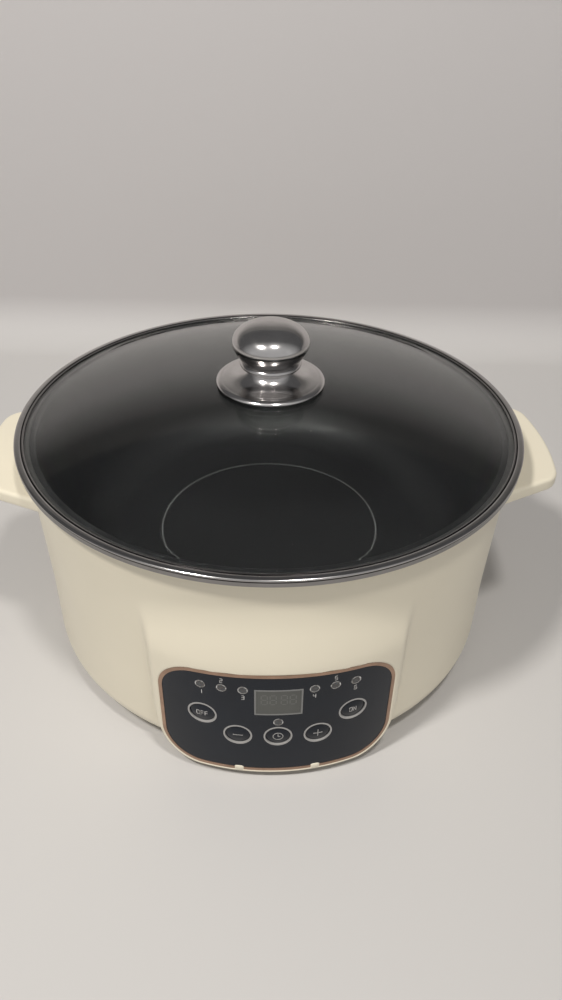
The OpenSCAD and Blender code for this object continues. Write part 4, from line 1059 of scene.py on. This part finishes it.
class HOTPOT_OT_panel(bpy.types.Operator):
    """Dresses the control panel, its trim, buttons, display and printed marks"""
    bl_idname = "hotpot.panel"
    bl_label = "Control panel"

    def execute(self, context):
        p = settings("panel")
        for node, slot_name, look in (("front_panel", "panel_dark", None),
                                      ("panel_trim", "copper_trim", None),
                                      ("button_rings", "pale_grey", None),
                                      ("display_bezel", "pale_grey", "bezel_grey"),
                                      ("display_window", "display_lens", None),
                                      ("indicator_lenses", "lamp_lens", None)):
            smooth_copy(node, "pot", slot_name, from_face_axis, look)
        for kind in BUTTON_NODES:
            self.button(kind, p)
        # painted shade: dark sheets in the gaps round the buttons, standing for the shade in those
        # gaps
        gap_shade_rings = [ring_quads(*button_face(kind + "_button")[:2], p.gap_shade_r, p.gap_shade_w)
                 for kind in BUTTON_NODES]
        printed("button_gap_shade", np.vstack(gap_shade_rings), -1.3 * MM, 1.7 * MM, slot_name="panel_dark")
        self.lamps(p)
        for cx, word in ((p.catch_x, "right"), (-p.catch_x, "left")):
            ob = mesh_from(word + "_catch", *catch_surface(cx), math.radians(60))
            finish_piece(ob, "pot", "cream_plastic")
        self.digits()
        return {"FINISHED"}

    def button(self, kind, p):
        node = kind + "_button"
        centre = button_ball(node)[0]

        def from_centre(points):
            d = points - centre
            return d / np.linalg.norm(d, axis=1)[:, None]
        smooth_copy(node, kind, "panel_dark", from_centre)
        cx, cz, surface = button_face(node)
        stroke, sink = 0.42 * MM, 0.4 * MM
        lift = 0.2 * MM if kind in ("minus", "plus") else 0.07 * MM
        quads = flat_strokes(sign_strokes(kind, cx, cz, p.word_h), stroke)
        printed(kind + "_sign", quads, lift, sink, surface, kind)

    def lamps(self, p):
        ring_r, ring_w, number_above, number_below = 2.4 * MM, 0.55 * MM, 5.4 * MM, 5.6 * MM
        strokes = []
        for k, x in enumerate(sorted(LAMP_X)):
            z = LAMP_Z + number_above if k in (1, 4) else LAMP_Z - number_below
            strokes += figure_strokes(str(k + 1), x, z, p.label_h)
        printed("lamp_numbers", flat_strokes(strokes, 0.38 * MM))
        places = [(x, LAMP_Z) for x in LAMP_X] + [(0.0, MIDDLE_LAMP_Z)]
        front = face_centre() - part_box("indicator_lenses")[0][1]
        lens_lift = front - settings("shell").face_r + FACE_IN
        rings = [ring_quads(x, z, ring_r, ring_w) for x, z in places]
        printed("lamp_rings", np.vstack(rings), lens_lift + 0.06 * MM)

    def digits(self):
        pitch, pair_gap, height = 4.6 * MM, 1.2 * MM, 7.0 * MM
        low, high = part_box("display_window")
        middle = low[2] + (high[2] - low[2]) * 0.62
        strokes = []
        for k in range(4):
            x = (k - 1.5) * pitch + (pair_gap if k > 1 else -pair_gap) / 2
            strokes += figure_strokes("8", x, middle, height)
        printed("display_digits", flat_strokes(strokes, 0.6 * MM, 0.5 * MM), 0.03 * MM,
                look="unlit_segments")


class HOTPOT_OT_finishes(bpy.types.Operator):
    """Makes every finish and gives each CAD node the one of its slot"""
    bl_idname = "hotpot.finishes"
    bl_label = "Finishes"

    def execute(self, context):
        for name, (maker, *values) in finishes().items():
            maker(name, *values)
        for part in frame["record"]["subparts"]:
            ob = frame["nodes"][part["node"]]
            ob.data.materials.clear()
            ob.data.materials.append(bpy.data.materials[part["material_slot"]])
        return {"FINISHED"}


# ---- stage ----

WALL_H = 0.60
WALL_DARK = (0.10, 0.098, 0.096)
LIGHT_TONE = (1.0, 0.97, 0.93)
LIGHT_AIM = Vector((0, 0, 0.05))
# each light's name, place, width and power
LIGHTS = (("ceiling_light", (-0.50, -0.50, 1.24), 0.16, 10.9),
          ("second_light", (0.16, -0.50, 1.30), 0.14, 6.2))


def backdrop_surface():
    """Table that curves up into a wall: a straight floor, a quarter round and a straight wall."""
    back, bend, reach = 0.42, 0.05, 3.0
    a = np.linspace(-np.pi / 2, 0, 16)
    y = np.concatenate([np.linspace(-reach, back - bend, 12, endpoint=False),
                        back - bend + bend * np.cos(a), np.full(6, back)])
    z = np.concatenate([np.zeros(12), bend + bend * np.sin(a), np.linspace(bend, WALL_H, 7)[1:]])
    x = np.linspace(-reach, reach, 9)
    points = columns(np.repeat(x, len(y)), np.tile(y, len(x)), np.tile(z, len(x)))
    return points, grid_faces(len(x), len(y), False, False)


class HOTPOT_OT_stage(bpy.types.Operator):
    """Sets up the table and wall, the soft lights and the camera"""
    bl_idname = "hotpot.stage"
    bl_label = "Stage"

    def execute(self, context):
        s = settings("stage")
        turn = Matrix.Rotation(-s.yaw, 3, "Z")
        points, faces = backdrop_surface()
        stage = mesh_from("table_and_wall", points @ np.array(turn).T, faces[:, ::-1], math.pi)
        stage.data.materials.append(self.backdrop_finish(s))
        self.lights(context)
        self.camera(context, s, turn)
        context.scene.view_settings.view_transform = "Standard"
        return {"FINISHED"}

    def backdrop_finish(self, s):
        """Pale table and wall, dark towards the wall's top, and seen through from behind."""
        f = Finish("table_and_wall")
        tint = f.ramp(f.remap(f.height(), 0.0, 0.5), (0.0, tuple(s.floor)), (0.1, tuple(s.wall)),
                      (0.66, tuple(s.wall)), (1.0, WALL_DARK))
        f.set(Base_Color=tint, Roughness=0.65)
        clear = f.add("BsdfTransparent", {}, "BSDF")
        f.mix_shaders(f.add("NewGeometry", {}, "Backfacing"), clear, f.shader)
        return f.mat

    def lights(self, context):
        """Two soft lamps overhead, in a room that is paler towards the back."""
        world = context.scene.world or bpy.data.worlds.new("soft_room")
        context.scene.world = world
        world.use_nodes = True
        room = Nodes(world.node_tree)
        place = room.add("TexCoord", {}, "Generated")
        side = room.remap(room.add("SeparateXYZ", {"Vector": place}, "Y"), -1.0, 1.0)
        tone = room.ramp(side, (0.22, (0.52, 0.52, 0.52)), (0.52, (0.10, 0.10, 0.102)))
        room.put(world.node_tree.nodes["Background"], {"Color": tone, "Strength": 1.0})
        for name, place, size, power in LIGHTS:
            data = bpy.data.lights.new(name, "AREA")
            data.shape = "DISK"
            data.size = size
            data.energy = power
            data.color = LIGHT_TONE
            ob = new_object(name, data)
            ob.location = place
            aim = LIGHT_AIM - Vector(place)
            ob.rotation_euler = aim.to_track_quat("-Z", "Y").to_euler()

    def camera(self, context, s, turn):
        """The camera's place and pitch before the pot, rolled and then turned by the yaw."""
        cam = bpy.data.cameras.new("camera")
        cam.sensor_width = 36.0
        cam.sensor_fit = "AUTO"
        cam.lens = s.focal
        cam.clip_start = 0.01
        forward = Vector((0, math.cos(s.pitch), -math.sin(s.pitch)))
        up = Vector((0, math.sin(s.pitch), math.cos(s.pitch)))
        right = Vector((1, 0, 0))
        rolled_right = math.cos(s.roll) * right + math.sin(s.roll) * up
        rolled_up = -math.sin(s.roll) * right + math.cos(s.roll) * up
        axes = Matrix((turn @ rolled_right, turn @ rolled_up, turn @ -forward)).transposed()
        ob = new_object("camera", cam)
        ob.matrix_world = Matrix.Translation(turn @ Vector(s.place)) @ axes.to_4x4()
        context.scene.camera = ob


class HOTPOT_PT_panel(bpy.types.Panel):
    bl_label = "Hot pot"
    bl_idname = "HOTPOT_PT_panel"
    bl_space_type = "VIEW_3D"
    bl_region_type = "UI"
    bl_category = "Hot pot"

    def draw(self, context):
        for group in GROUPS:
            box = self.layout.box()
            values = settings(group)
            for key in values.bl_rna.properties.keys():
                if key not in ("rna_type", "name"):
                    box.prop(values, key)
        for name in STEPS:
            self.layout.operator("hotpot." + name)


STEPS = ("finishes", "shell", "ears", "pan", "lid", "panel", "stage")
GROUPS = {"shell": HotPotShell, "pan": HotPotPan, "lid": HotPotLid, "panel": HotPotPanel,
          "stage": HotPotStage}
CLASSES = (*GROUPS.values(), HOTPOT_OT_finishes, HOTPOT_OT_shell, HOTPOT_OT_ears, HOTPOT_OT_pan,
           HOTPOT_OT_lid, HOTPOT_OT_panel, HOTPOT_OT_stage, HOTPOT_PT_panel)


def register():
    for cls in CLASSES:
        bpy.utils.register_class(cls)
    for name, cls in GROUPS.items():
        setattr(bpy.types.Scene, "hotpot_" + name, bpy.props.PointerProperty(type=cls))


def unregister():
    for name in GROUPS:
        delattr(bpy.types.Scene, "hotpot_" + name)
    for cls in reversed(CLASSES):
        bpy.utils.unregister_class(cls)


def main():
    register()
    for name in STEPS:
        getattr(bpy.ops.hotpot, name)()


if __name__ == "__main__":
    main()
